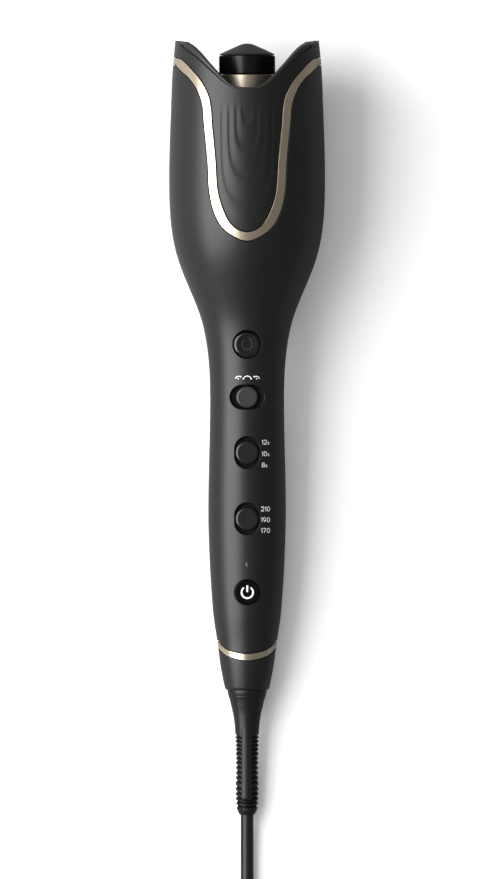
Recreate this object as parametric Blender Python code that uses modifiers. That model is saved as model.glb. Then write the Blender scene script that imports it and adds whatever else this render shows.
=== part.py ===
"""Automatic hair curler with a tulip shaped curling chamber.

The tool is designed upright: its long axis is +Z, the heated barrel points up,
and the buttons face -Y.  An empty then lays it on its back on the surface z = 0,
with the barrel towards +Y and the buttons up.  Lengths are millimetres times MM.
"""
import math

import bmesh
import bpy
from mathutils import Matrix, Vector

MM = 0.001

# ---------------------------------------------------------------- dimensions
GAP = 0.3                 # clearance between neighbouring pieces
WALL = 1.7                # casing wall
LINER_WALL = 1.0
SHELL_STEPS = 28

# turned outline of the whole tool: station along the axis, radius
BODY = [
    (-120.2, 10.4), (-117.8, 10.95), (-114.0, 11.75), (-106.3, 13.1), (-96.2, 14.4),
    (-86.6, 15.9), (-77.0, 16.8), (-67.4, 17.5), (-55.0, 18.1), (-38.6, 18.6),
    (-19.4, 18.45), (0.0, 18.0), (19.0, 17.75), (38.2, 18.5), (47.8, 19.75),
    (57.4, 21.9), (67.0, 25.4), (76.6, 29.45), (86.2, 33.05), (95.8, 35.45),
    (105.4, 36.75), (115.0, 37.3), (124.6, 37.45), (143.8, 37.1), (163.0, 36.4),
    (179.3, 35.65), (191.7, 34.4),
]

# wavy trim round the head, as seen from the front: half width, station
TRIM_LOWER = [(0.0, 94.7), (7.2, 97.3), (12.8, 102.2), (16.3, 109.3), (18.4, 119.1),
              (19.2, 133.2), (20.9, 151.0), (21.6, 159.3), (22.9, 163.9), (25.1, 168.8),
              (28.4, 173.2), (31.2, 175.7), (33.9, 178.5), (35.3, 179.6), (46.0, 180.4)]
TRIM_UPPER = [(0.0, 99.3), (4.4, 100.5), (8.6, 104.4), (12.1, 112.1), (14.1, 120.5),
              (14.9, 133.2), (16.6, 151.0), (17.0, 157.2), (18.0, 163.2), (19.9, 168.0),
              (22.6, 172.4), (26.6, 177.2), (29.8, 180.7), (33.5, 182.9), (46.0, 184.2)]
# petal rims: the outer skin's edge and the inner lip's edge
RIM_OUTER = [(0.0, 168.9), (4.9, 169.2), (8.5, 170.5), (11.9, 172.7), (15.2, 175.7),
             (20.2, 180.4), (24.0, 184.0), (26.7, 186.2), (31.2, 189.4), (33.4, 191.3), (46.0, 191.6)]
RIM_INNER = [(0.0, 169.6), (4.9, 170.1), (8.5, 171.6), (11.9, 174.4), (14.6, 176.8),
             (20.1, 182.4), (24.0, 186.0), (28.7, 189.3), (31.0, 190.3), (46.0, 190.6)]
# trim at the end of the handle, dipping at the front and the back
RING_UPPER = [(0.0, -102.6), (5.6, -101.9), (10.0, -100.4), (12.9, -98.0), (14.2, -96.5), (20.0, -96.2)]
RING_LOWER = [(0.0, -106.1), (5.6, -105.3), (10.0, -103.7), (12.9, -101.3), (14.2, -99.9), (20.0, -99.6)]

# heated barrel, its tip and its drive
BARREL_R, BARREL_WALL = 13.2, 1.8
BARREL_Z = (93.8, 175.0)
COLLAR_R, COLLAR_Z = 13.45, (175.3, 184.2)
CONE_BASE_Z, CONE_APEX_Z = 184.5, 190.1
FLOOR_Z = (98.0, 100.0)
MODULE = 0.6
RING_TEETH, PINION_TEETH = 36, 12
GEAR_OFFSET = MODULE * (RING_TEETH - PINION_TEETH) / 2.0     # 7.2, towards the back
GEAR_Z = (78.3, 93.5)

# controls on the front: station along the axis
CURL_Z, CURL_R = 45.5, 6.35
POWER_Z, POWER_R = -73.2, 5.9
PRESS_TRAVEL = 0.6
DIRECTION_Z, DIRECTION_R, DIRECTION_TRAVEL = 20.3, 5.1, 2.8
DIRECTION_POCKET = (16.5, 11.7)
TIME_Z, TEMP_Z = -6.3, -38.0
STEP_R, STEP_TRAVEL = 5.4, 2.0
STEP_POCKET = (12.0, 15.5)
LED_Z = -60.0
BOARD_TOP = 7.6           # height of the control board's face above the axis
BOARD_THICK = 1.6
BOARD_Z = (-83.0, 52.5)
BOARD_HALF = 11.5

# mains cord: diameter, where it ends, and its stored coil
CORD_D = 6.1
RELIEF_END = -180.2
COIL_ROWS, COIL_COLUMNS = 2, 4
COIL_PITCH = 6.2
COIL_MID_R = 33.9
COIL_CENTRE = (43.2, -266.0)
CORD_LIE = 3.2            # height of the cord's centre where it lies on the surface
PLUG_X = -21.6
PLUG_SIZE = (35.3, 34.0, 13.7)
PLUG_NECK = 17.0
PLUG_PIN = (2.0, 19.0, 18.6)   # radius, length, spacing

REST_DEPTH = 0.3          # depth of the small flats that the tool rests on

# ---------------------------------------------------------------- scene
for o in list(bpy.data.objects):
    bpy.data.objects.remove(o, do_unlink=True)

scene = bpy.context.scene
parts = bpy.data.collections.new("automatic_hair_curler")
cutters = bpy.data.collections.new("cutters")
scene.collection.children.link(parts)
scene.collection.children.link(cutters)

lay_down = bpy.data.objects.new("lay_down", None)
parts.objects.link(lay_down)


# ---------------------------------------------------------------- helpers
def material(name, colour, roughness, metallic=0.0):
    m = bpy.data.materials.new(name)
    m.use_nodes = True
    b = m.node_tree.nodes["Principled BSDF"]
    b.inputs["Base Color"].default_value = (*colour, 1.0)
    b.inputs["Roughness"].default_value = roughness
    b.inputs["Metallic"].default_value = metallic
    m.diffuse_color = (*colour, 1.0)
    return m


def adopt(obj, mat=None, at=(0, 0, 0), cutter=False, parent=lay_down):
    """Put an object in its collection, under the tool's empty, with its origin at a point."""
    (cutters if cutter else parts).objects.link(obj)
    if parent is not None:
        obj.parent = parent
    obj.location = Vector(at) * MM
    if cutter:
        obj.hide_render = True
        obj.display_type = 'WIRE'
    elif mat is not None:
        obj.data.materials.append(mat)
    return obj


def from_bmesh(name, bm):
    bmesh.ops.recalc_face_normals(bm, faces=bm.faces)
    me = bpy.data.meshes.new(name)
    bm.to_mesh(me)
    bm.free()
    return bpy.data.objects.new(name, me)


def turned(name, profile, steps=SHELL_STEPS, mat=None, at=(0, 0, 0), cutter=False, ring=True):
    """Turn a profile of (radius, height) round the axis.

    The profile runs down its outer side; a ring then runs back up its inner side,
    and a solid starts and ends on the axis.
    """
    me = bpy.data.meshes.new(name)
    pts = [(r * MM, 0.0, (z - at[2]) * MM) for r, z in profile]
    n = len(pts)
    edges = [(i, i + 1) for i in range(n - 1)] + ([(n - 1, 0)] if ring else [])
    me.from_pydata(pts, edges, [])
    ob = bpy.data.objects.new(name, me)
    sc = ob.modifiers.new("turn", 'SCREW')
    sc.axis = 'Z'
    sc.angle = 2 * math.pi
    sc.steps = sc.render_steps = steps
    sc.use_merge_vertices = True
    sc.merge_threshold = 0.00001
    sc.use_smooth_shade = True
    return adopt(ob, mat, at, cutter)


def box(name, lo, hi, mat=None, cutter=False, at=None, bevel=0.0):
    centre = [(a + b) / 2 for a, b in zip(lo, hi)] if at is None else at
    bm = bmesh.new()
    bmesh.ops.create_cube(bm, size=1.0)
    for v in bm.verts:
        v.co = Vector([((a + b) / 2 - c + k * (b - a)) * MM for a, b, c, k in zip(lo, hi, centre, v.co)])
    ob = adopt(from_bmesh(name, bm), mat, centre, cutter)
    if bevel:
        bv = ob.modifiers.new("edges", 'BEVEL')
        bv.width = bevel * MM
        bv.segments = 2
        bv.limit_method = 'ANGLE'
    return ob


def post(name, r, front, back, z, x=0.0, seg=24, mat=None, cutter=False, bevel=0.0, at=None):
    """A cylinder standing on the front, from a height towards the axis up to a height (heights along -Y)."""
    lo, hi = sorted((front, back))
    bm = bmesh.new()
    bmesh.ops.create_cone(bm, cap_ends=True, segments=seg, radius1=r * MM, radius2=r * MM, depth=(hi - lo) * MM,
                          matrix=Matrix.Rotation(math.pi / 2, 4, 'X'))
    ob = adopt(from_bmesh(name, bm), mat, (x, -(lo + hi) / 2, z), cutter)
    if bevel:
        bv = ob.modifiers.new("edge", 'BEVEL')
        bv.width = bevel * MM
        bv.segments = 2
        bv.limit_method = 'ANGLE'
    return ob


def prism(name, outline, y0=-60.0, y1=60.0, mat=None, cutter=True, axis='Y', at=(0, 0, 0)):
    """Extrude a flat outline: (x, z) along Y, or (x, y) along Z."""
    bm = bmesh.new()
    if axis == 'Y':
        vs = [bm.verts.new((x * MM, y0 * MM, z * MM)) for x, z in outline]
        push = Vector((0, (y1 - y0) * MM, 0))
    else:
        vs = [bm.verts.new((x * MM, y * MM, y0 * MM)) for x, y in outline]
        push = Vector((0, 0, (y1 - y0) * MM))
    face = bm.faces.new(vs)
    out = bmesh.ops.extrude_face_region(bm, geom=[face])
    bmesh.ops.translate(bm, vec=push, verts=[v for v in out["geom"] if isinstance(v, bmesh.types.BMVert)])
    return adopt(from_bmesh(name, bm), mat, at, cutter)


def boolean(obj, tool, op='DIFFERENCE'):
    m = obj.modifiers.new(tool.name, 'BOOLEAN')
    m.operation = op
    m.object = tool
    m.solver = 'EXACT'
    return obj


def lerp_table(table, z):
    for (z0, r0), (z1, r1) in zip(table, table[1:]):
        if z0 <= z <= z1:
            return r0 + (r1 - r0) * (z - z0) / (z1 - z0)
    return table[0][1] if z < table[0][0] else table[-1][1]


def body_r(z):
    return lerp_table(BODY, z)


def wall_profile(z_hi, z_lo, outer_inset, inner_inset):
    """Outer side down, inner side back up, following the tool's outline."""
    stations = [z_lo] + [z for z, _ in BODY if z_lo < z < z_hi] + [z_hi]
    down = [(body_r(z) - outer_inset, z) for z in reversed(stations)]
    up = [(body_r(z) - inner_inset, z) for z in stations]
    return down + up


def spline(points, per):
    """Catmull-Rom through the points."""
    p = [Vector(q) for q in points]
    p = [2 * p[0] - p[1]] + p + [2 * p[-1] - p[-2]]
    out = []
    for i in range(1, len(p) - 2):
        for k in range(per):
            t = k / per
            out.append(0.5 * ((2 * p[i]) + (p[i + 1] - p[i - 1]) * t
                              + (2 * p[i - 1] - 5 * p[i] + 4 * p[i + 1] - p[i + 2]) * t * t
                              + (3 * p[i] - p[i - 1] - 3 * p[i + 1] + p[i + 2]) * t ** 3))
    out.append(p[-2])
    return out


def mirrored(table, shift=0.0, per=1):
    """A symmetric front outline from its right half, moved square to itself by shift."""
    half = spline([(x, z, 0) for x, z in table[:-1]], per) + [Vector((*table[-1], 0))]
    moved = []
    for i, p in enumerate(half):
        a, b = half[max(i - 1, 0)], half[min(i + 1, len(half) - 1)]
        if i == 0:
            n = Vector((0, 1, 0))
        else:
            d = (b - a).normalized()
            n = Vector((-d.y, d.x, 0))
        moved.append(p + n * shift)
    right = [(v.x, v.y) for v in moved]
    return [(-x, z) for x, z in reversed(right[1:])] + right


def region_above(name, table, shift=0.0, top=260.0):
    line = mirrored(table, shift)
    return prism(name, line + [(line[-1][0], top), (line[0][0], top)])


def region_below(name, table, shift=0.0, bottom=-140.0):
    line = mirrored(table, shift)
    return prism(name, line + [(line[-1][0], bottom), (line[0][0], bottom)])


def stadium(w, h, seg=8):
    """Outline of a slot w wide (x) and h high (z) with round ends."""
    r = min(w, h) / 2
    sx, sz = w / 2 - r, h / 2 - r
    pts = []
    for k in range(2 * seg + 2):
        a = math.pi * 2 * (k if k <= seg else k - 1) / (2 * seg) + (0 if h > w else -math.pi / 2)
        first = k <= seg
        if h > w:
            pts.append((r * math.cos(a), r * math.sin(a) + (sz if first else -sz)))
        else:
            pts.append((r * math.cos(a) + (sx if first else -sx), r * math.sin(a)))
    return pts


# ---------------------------------------------------------------- materials
def plastic(name, v, rough):
    return material(name, (v, v, v * 1.02), rough)


soft_black = (0.028, 0.028, 0.030)
gold = (0.62, 0.52, 0.38)

# ---------------------------------------------------------------- how it lies
def rest_tilt():
    """Slope of the line that the tool's back rests on: the lower hull edge that spans the middle."""
    best = None
    for z0, r0 in BODY:
        for z1, r1 in BODY:
            if z0 < 0 < z1:
                s = (r1 - r0) / (z1 - z0)
                if all(r <= r0 + s * (z - z0) + 1e-9 for z, r in BODY):
                    best = math.atan(s)
    return best


TILT = rest_tilt()
SIN, COS = math.sin(TILT), math.cos(TILT)
LIFT = -REST_DEPTH + max(r * COS - z * SIN for z, r in BODY)
lay_down.rotation_euler = (-(math.pi / 2 - TILT), 0, 0)
lay_down.location = (0, 0, LIFT * MM)


def world(x, d, z, shift_y):
    """Millimetres in the tool (x, height over the axis towards the front, station) to the lying frame."""
    return Vector((x, shift_y - d * SIN + z * COS, LIFT + d * COS + z * SIN))


# ---------------------------------------------------------------- casing
head_cut = region_above("head_cut", TRIM_LOWER, -GAP / 2)
crown_keep = region_above("crown_keep", TRIM_UPPER, GAP / 2)
rim_cut = region_above("rim_cut", RIM_OUTER)
lip_cut = region_above("lip_cut", RIM_INNER)
tail_cut = region_below("tail_cut", RING_UPPER, GAP / 2)
cap_keep = region_below("cap_keep", RING_LOWER, -GAP / 2)

front_half = box("front_half", (-60, -60, -200), (60, -GAP / 2, 260), cutter=True)
back_half = box("back_half", (-60, GAP / 2, -200), (60, 60, 260), cutter=True)

floor_box = bpy.data.objects.new("surface", bpy.data.meshes.new("surface"))
bm = bmesh.new()
bmesh.ops.create_cube(bm, size=1.0, matrix=Matrix.Translation((0, 0, -0.02)) @ Matrix.Diagonal((0.6, 1.2, 0.04, 1)))
bm.to_mesh(floor_box.data)
bm.free()
adopt(floor_box, None, (0, 0, 0), cutter=True, parent=None)

CASE_Z = (-108.0, 186.0)
front = turned("front_shell", wall_profile(CASE_Z[1], CASE_Z[0], 0.0, WALL), mat=material("front_shell", soft_black, 0.5))
boolean(front, front_half, 'INTERSECT')
boolean(front, head_cut)
boolean(front, tail_cut)

rear = turned("rear_shell", wall_profile(CASE_Z[1], CASE_Z[0], 0.0, WALL), mat=material("rear_shell", soft_black, 0.5))
boolean(rear, back_half, 'INTERSECT')
boolean(rear, head_cut)
boolean(rear, tail_cut)
boolean(rear, floor_box)

crown = turned("crown_sleeve", wall_profile(191.7, 93.0, 0.05, WALL), mat=material("crown_sleeve", (0.02, 0.02, 0.022), 0.42))
boolean(crown, crown_keep, 'INTERSECT')
boolean(crown, rim_cut)
boolean(crown, floor_box)

trim = turned("head_trim_ring", wall_profile(186.0, 93.0, 0.0, 1.2), mat=material("head_trim_ring", gold, 0.28, 1.0))
trim_keep = prism("trim_keep", mirrored(TRIM_LOWER, GAP / 2) + list(reversed(mirrored(TRIM_UPPER, -GAP / 2))))
boolean(trim, trim_keep, 'INTERSECT')
boolean(trim, floor_box)

liner_out = WALL + GAP
floor_r = body_r(FLOOR_Z[0]) - liner_out
stations = [z for z, _ in BODY if FLOOR_Z[1] + 2 < z < 191]
liner_profile = ([(body_r(191.2) - liner_out, 191.2)]
                 + [(body_r(z) - liner_out, z) for z in reversed(stations)]
                 + [(floor_r, FLOOR_Z[0]), (14.0, FLOOR_Z[0]), (14.0, FLOOR_Z[1]),
                    (body_r(FLOOR_Z[1]) - liner_out - LINER_WALL, FLOOR_Z[1])]
                 + [(body_r(z) - liner_out - LINER_WALL, z) for z in stations]
                 + [(body_r(191.2) - liner_out - LINER_WALL, 191.2)])
liner = turned("chamber_liner", liner_profile, mat=material("chamber_liner", (0.03, 0.03, 0.032), 0.45))
boolean(liner, lip_cut)

ring = turned("lower_trim_ring", wall_profile(-95.0, -108.0, 0.0, 1.3), mat=material("lower_trim_ring", gold, 0.28, 1.0))
ring_keep = prism("ring_keep", mirrored(RING_LOWER, GAP / 2) + list(reversed(mirrored(RING_UPPER, -GAP / 2))))
boolean(ring, ring_keep, 'INTERSECT')

cap_stations = [z for z, _ in BODY if -118.0 < z < -98.5]
cap_profile = ([(body_r(-98.5), -98.5)] + [(body_r(z), z) for z in reversed(cap_stations)]
               + [(body_r(-118.0), -118.0), (10.5, -120.2), (7.0, -120.2), (7.0, -118.2), (9.4, -118.0)]
               + [(body_r(z) - 1.8, z) for z in cap_stations] + [(body_r(-98.5) - 1.8, -98.5)])
end_cap = turned("end_cap", cap_profile, 28, mat=material("end_cap", soft_black, 0.5))
boolean(end_cap, cap_keep, 'INTERSECT')

# openings for the controls in the front shell
boolean(front, post("curl_hole", CURL_R + 0.35, 8.0, 30.0, CURL_Z, cutter=True))
boolean(front, post("power_hole", POWER_R + 0.35, 8.0, 30.0, POWER_Z, cutter=True))
boolean(front, post("led_hole", 1.45, 8.0, 30.0, LED_Z, seg=12, cutter=True))


def pocket(name, z, size, slot_size):
    """A flat-floored pocket with a slot for the knob's stem; returns the floor's height."""
    r, w = body_r(z), size[0] / 2
    wb = w + 1.2
    top = min(math.sqrt(r * r - wb * wb) - 0.3, math.sqrt((r - WALL) ** 2 - w * w) + 1.1)
    floor = top - 0.3
    rim = prism(name + "_rim", [(x, z + q) for x, q in stadium(size[0] + 2.4, size[1] + 2.4)], -top, -(floor - 1.2))
    well = prism(name + "_well", [(x, z + q) for x, q in stadium(*size)], -30.0, -floor)
    slot = prism(name + "_slot", [(x, z + q) for x, q in stadium(*slot_size, seg=6)], -30.0, -8.0)
    boolean(front, rim, 'UNION')
    boolean(front, well)
    boolean(front, slot)
    return floor


STEM_R = 1.1
direction_floor = pocket("direction", DIRECTION_Z, DIRECTION_POCKET,
                         (2 * (DIRECTION_TRAVEL + STEM_R + 0.35), 2 * (STEM_R + 0.35)))
time_floor = pocket("time", TIME_Z, STEP_POCKET, (2 * (STEM_R + 0.35), 2 * (STEP_TRAVEL + STEM_R + 0.35)))
temp_floor = pocket("temperature", TEMP_Z, STEP_POCKET, (2 * (STEM_R + 0.35), 2 * (STEP_TRAVEL + STEM_R + 0.35)))

# ---------------------------------------------------------------- controls
def slider(name, z, r, floor, top, colour=0.06):
    """Knob with its stem, the lever that it moves, and the slide switch on the board."""
    knob = turned(name, [(0, top), (r - 0.5, top), (r, top - 0.5), (r, floor + GAP), (STEM_R, floor + GAP),
                         (STEM_R, BOARD_TOP + 5.4), (0, BOARD_TOP + 5.4)], 24,
                  plastic(name, colour, 0.45), (0, 0, 0), ring=False)
    knob.rotation_euler = (math.pi / 2, 0, 0)
    knob.location = (0, 0, z * MM)
    box(name.replace("slider", "switch"), (-4.5, -(BOARD_TOP + 3.4), z - 3.6), (4.5, -(BOARD_TOP + GAP), z + 3.6),
        plastic(name + "_switch", 0.05, 0.5))
    box(name.replace("slider", "switch_lever"), (-1.2, -(BOARD_TOP + 5.1), z - 1.2), (1.2, -(BOARD_TOP + 3.7), z + 1.2),
        plastic(name + "_lever", 0.6, 0.5))
    return knob


slider("direction_slider", DIRECTION_Z, DIRECTION_R, direction_floor, body_r(DIRECTION_Z) - 0.45)
slider("time_slider", TIME_Z, STEP_R, time_floor, body_r(TIME_Z) + 0.05)
slider("temperature_slider", TEMP_Z, STEP_R, temp_floor, body_r(TEMP_Z) + 0.05)


def press_button(name, z, r, top, colour):
    """Cap with its stem, return spring, tact switch and the switch's plunger."""
    under = top - 2.4
    cap = turned(name + "_button", [(0, top), (r - 0.45, top), (r, top - 0.45), (r, under), (1.9, under),
                                    (1.9, BOARD_TOP + 5.1), (0, BOARD_TOP + 5.1)], 28,
                 plastic(name + "_button", colour, 0.4), (0, 0, 0), ring=False)
    cap.rotation_euler = (math.pi / 2, 0, 0)
    cap.location = (0, 0, z * MM)
    switch = box(name + "_switch", (-3, -(BOARD_TOP + 3.7), z - 3), (3, -(BOARD_TOP + GAP), z + 3),
                 plastic(name + "_switch", 0.04, 0.5))
    boolean(switch, post(name + "_switch_hole", 2.05, BOARD_TOP + 1.9, BOARD_TOP + 6, z, seg=16, cutter=True))
    post(name + "_switch_plunger", 1.7, BOARD_TOP + 2.8, BOARD_TOP + 4.8, z, seg=16,
         mat=plastic(name + "_plunger", 0.5, 0.5))
    # coil spring between the board and the cap
    wire, rad, turns, per = 0.3, 4.9, 3.5, 8
    lo, hi = BOARD_TOP + wire + 0.3, under - wire - 0.3
    n = int(turns * per)
    cu = bpy.data.curves.new(name + "_spring", 'CURVE')
    cu.dimensions = '3D'
    sp = cu.splines.new('POLY')
    sp.points.add(n)
    for i in range(n + 1):
        a = 2 * math.pi * i / per
        d = lo + (hi - lo) * i / n
        sp.points[i].co = (rad * math.cos(a) * MM, -d * MM, rad * math.sin(a) * MM, 1)
    cu.bevel_depth = wire * MM
    cu.bevel_resolution = 0
    cu.use_fill_caps = True
    cu.use_path = False
    adopt(bpy.data.objects.new(name + "_spring", cu), material(name + "_spring", (0.5, 0.5, 0.5), 0.3, 1.0), (0, 0, z))


press_button("curl", CURL_Z, CURL_R, body_r(CURL_Z) - 0.35, 0.03)
press_button("power", POWER_Z, POWER_R, body_r(POWER_Z) - 0.1, 0.02)

post("led_window", 1.1, BOARD_TOP + 1.5, body_r(LED_Z) - 0.15, LED_Z, seg=12, mat=material("led_window", (0.5, 0.5, 0.5), 0.2))
box("ready_led", (-1, -(BOARD_TOP + 1.1), LED_Z - 1), (1, -(BOARD_TOP + GAP), LED_Z + 1), material("ready_led", (0.9, 0.9, 0.8), 0.2))

# ---------------------------------------------------------------- boards and frame
board = box("control_board", (-BOARD_HALF, -BOARD_TOP, BOARD_Z[0]), (BOARD_HALF, -(BOARD_TOP - BOARD_THICK), BOARD_Z[1]),
            material("control_board", (0.03, 0.16, 0.08), 0.5))
chassis = box("inner_chassis", (-BOARD_HALF, -(BOARD_TOP - 2.2), BOARD_Z[0]), (BOARD_HALF, -(BOARD_TOP - 4.2), BOARD_Z[1]),
              plastic("inner_chassis", 0.25, 0.55))
SCREWS = [(-9.3, 49.5), (9.3, 49.5), (-9.3, -78.5), (9.3, -78.5)]
for i, (x, z) in enumerate(SCREWS, 1):
    hole = post("screw_hole_%d" % i, 1.25, 0, 12, z, x, seg=12, cutter=True)
    boolean(board, hole)
    boolean(chassis, hole)
    s = turned("board_screw_%d" % i, [(0, 9.1), (1.6, 9.1), (1.9, 8.6), (1.9, 7.9), (0.9, 7.9), (0.9, 3.0), (0, 3.0)], 12,
               material("board_screw_%d" % i, (0.6, 0.6, 0.6), 0.3, 1.0), ring=False)
    s.rotation_euler = (math.pi / 2, 0, 0)
    s.location = (x * MM, 0, z * MM)
box("power_board", (-10, 4.4, -88), (10, 6.0, -24), material("power_board", (0.03, 0.16, 0.08), 0.5))
turned("filter_capacitor", [(0, -50), (3.4, -50), (3.4, -72), (0, -72)], 20,
       material("filter_capacitor", (0.1, 0.1, 0.16), 0.35), ring=False).location = (0, 0.6 * MM, 0)

# ---------------------------------------------------------------- barrel (turns)
turned("heated_barrel", [(BARREL_R, BARREL_Z[1]), (BARREL_R, BARREL_Z[0]), (BARREL_R - BARREL_WALL, BARREL_Z[0]),
                         (BARREL_R - BARREL_WALL, BARREL_Z[1])], 32, material("heated_barrel", (0.55, 0.47, 0.36), 0.3, 1.0))
turned("barrel_tip_collar", [(COLLAR_R, COLLAR_Z[1]), (COLLAR_R, COLLAR_Z[0]), (11.0, COLLAR_Z[0]), (11.0, COLLAR_Z[1])], 32,
       plastic("barrel_tip_collar", 0.008, 0.12))
turned("barrel_tip_cone", [(0, CONE_APEX_Z), (2.4, CONE_APEX_Z - 0.35), (4.6, CONE_APEX_Z - 1.2), (12.6, CONE_BASE_Z + 0.5),
                           (13.3, CONE_BASE_Z), (10.5, CONE_BASE_Z), (10.5, 178.5), (0, 178.5)], 32,
       plastic("barrel_tip_cone", 0.05, 0.5), ring=False)
hook = turned("winding_hook", [(19.0, 104.8), (19.0, 100.8), (BARREL_R + 0.3, 100.8), (BARREL_R + 0.3, 104.8)], 32,
              plastic("winding_hook", 0.04, 0.4))
for i, a in enumerate((45, 225)):
    finger = box("finger_%d" % i, (-2.0, 15.2, 101.5), (2.0, 18.2, 142.0), cutter=True)
    finger.location = (0, 0, 0)
    for v in finger.data.vertices:
        v.co += Vector((0, 16.7, 121.75)) * MM
        # the finger leans outwards and narrows towards its tip
        k = (v.co.z / MM - 101.5) / 40.5
        v.co.x *= 1.0 - 0.35 * k
        v.co.y += 1.5 * k * MM
    finger.rotation_euler = (0, 0, math.radians(a))
    boolean(hook, finger, 'UNION')


def tooth_outline(teeth, r_in, r_out, w_in, w_out):
    """Outline with a tooth centred on each pitch: widths in mm at the inner and outer radius."""
    pts = []
    for k in range(teeth):
        a = 2 * math.pi * k / teeth
        for r, w in ((r_in, -w_in), (r_out, -w_out), (r_out, w_out), (r_in, w_in)):
            b = a + (w / 2) / r
            pts.append((r * math.cos(b), r * math.sin(b)))
    return pts


pitch = math.pi * MODULE
r_ring = MODULE * RING_TEETH / 2
r_pin = MODULE * PINION_TEETH / 2
gear = turned("drive_gear", [(13.4, GEAR_Z[1]), (13.4, GEAR_Z[0]), (3.1, GEAR_Z[0]), (3.1, GEAR_Z[1])], 36,
              material("drive_gear", (0.75, 0.72, 0.62), 0.45))
teeth = prism("ring_teeth", tooth_outline(RING_TEETH, r_ring - 0.45, r_ring + 0.7, 1.35, 0.95), GEAR_Z[0] - 2, 91.0, axis='Z')
boolean(gear, teeth)
pinion = prism("pinion_gear", tooth_outline(PINION_TEETH, r_pin - 0.7, r_pin + 0.45, 1.0, 0.45), 79.0 - 79.0, 88.0 - 79.0,
               material("pinion_gear", (0.7, 0.6, 0.35), 0.35, 1.0), cutter=False, axis='Z', at=(0, GEAR_OFFSET, 79.0))
shaft_bore = turned("shaft_bore", [(0, 100), (1.3, 100), (1.3, 60), (0, 60)], 16, cutter=True, ring=False)
shaft_bore.location = (0, GEAR_OFFSET * MM, 0)
boolean(pinion, shaft_bore)

turned("barrel_bearing", [(17.0, 91.0), (17.0, 86.5), (30.2, 86.5), (30.2, 84.0), (13.75, 84.0), (13.75, 91.0)], 32,
       material("barrel_bearing", (0.7, 0.7, 0.66), 0.5))
turned("heater_core", [(10.2, 168.0), (10.2, 97.0), (2.6, 96.0), (2.6, 74.4), (0, 74.4), (0, 110.0), (2.9, 110.0), (2.9, 168.0)],
       20, material("heater_core", (0.7, 0.7, 0.68), 0.6), ring=True)
turned("thermal_fuse", [(0, 144), (2.4, 144), (2.4, 130), (0, 130)], 16, material("thermal_fuse", (0.8, 0.75, 0.6), 0.5), ring=False)
turned("temperature_sensor", [(0, 162), (1.8, 161), (2.4, 158), (2.4, 152), (0, 152)], 16,
       material("temperature_sensor", (0.1, 0.1, 0.1), 0.4), ring=False)

# ---------------------------------------------------------------- motor
mount = turned("motor_mount", [(25.8, 76.5), (25.8, 74.0), (2.95, 74.0), (2.95, 76.5)], 36,
               plastic("motor_mount", 0.3, 0.55))
shaft_hole = turned("shaft_hole", [(0, 80), (1.9, 80), (1.9, 70), (0, 70)], 16, cutter=True, ring=False)
shaft_hole.location = (0, GEAR_OFFSET * MM, 0)
boolean(mount, shaft_hole)
motor = turned("motor_body", [(1.4, 73.5), (8.6, 73.5), (9.0, 73.0), (9.0, 49.5), (8.0, 48.5), (0, 48.5), (0, 66.0), (1.4, 66.0)], 28,
               material("motor_body", (0.6, 0.6, 0.6), 0.35, 1.0), ring=True)
motor.location = (0, GEAR_OFFSET * MM, 0)
mshaft = turned("motor_shaft", [(0, 89.5), (1.0, 89.5), (1.0, 66.6), (0, 66.6)], 16,
                material("motor_shaft", (0.7, 0.7, 0.7), 0.2, 1.0), ring=False)
mshaft.location = (0, GEAR_OFFSET * MM, 0)

# ---------------------------------------------------------------- swivel end
turned("slip_ring_block", [(0, -98.0), (8.6, -98.0), (8.6, -109.8), (0, -109.8)], 24, plastic("slip_ring_block", 0.3, 0.5), ring=False)
turned("swivel_contact_disc", [(0, -110.2), (6.2, -110.2), (6.2, -111.6), (0, -111.6)], 24,
       material("swivel_contact_disc", (0.7, 0.6, 0.35), 0.3, 1.0), ring=False)
turned("swivel_retainer", [(8.9, -115.2), (8.9, -117.6), (6.8, -117.6), (6.8, -115.2)], 24, plastic("swivel_retainer", 0.3, 0.5))
RELIEF = [(9.4, -120.6), (9.2, -122.0), (8.3, -125.0), (7.6, -127.9), (6.9, -130.8), (6.4, -133.7), (6.0, -136.6),
          (5.7, -140.5), (5.45, -149.0), (5.3, -160.0), (5.15, -175.4), (4.9, -177.0), (4.4, -178.6), (3.5, RELIEF_END)]
turned("strain_relief", [(0, -111.9), (6.5, -111.9), (6.5, -120.6)] + RELIEF + [(0, RELIEF_END)], 16,
       material("strain_relief", (0.02, 0.02, 0.02), 0.6), ring=False)

# ---------------------------------------------------------------- centre the tool on its footprint
bpy.context.view_layer.update()
dg = bpy.context.evaluated_depsgraph_get()
ys = []
for ob in list(parts.objects):
    if ob.type in {'MESH', 'CURVE'}:
        ev = ob.evaluated_get(dg)
        me = ev.to_mesh()
        ys += [(ev.matrix_world @ v.co).y for v in me.vertices]
        ev.to_mesh_clear()
SHIFT_Y = -(min(ys) + max(ys)) / 2 / MM
lay_down.location = (0, SHIFT_Y * MM, LIFT * MM)

# ---------------------------------------------------------------- mains cord on the surface
cx, cy = COIL_CENTRE
r_out = COIL_MID_R + COIL_PITCH * (COIL_COLUMNS - 1) / 2       # outermost turn
solid_in, solid_out = COIL_MID_R - COIL_PITCH * COIL_COLUMNS / 2 - 0.1, r_out + COIL_PITCH / 2 + 0.1
coil_top = 0.1 + CORD_D + COIL_PITCH * (COIL_ROWS - 1)
z_top_row = CORD_LIE + COIL_PITCH * (COIL_ROWS - 1)


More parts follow.
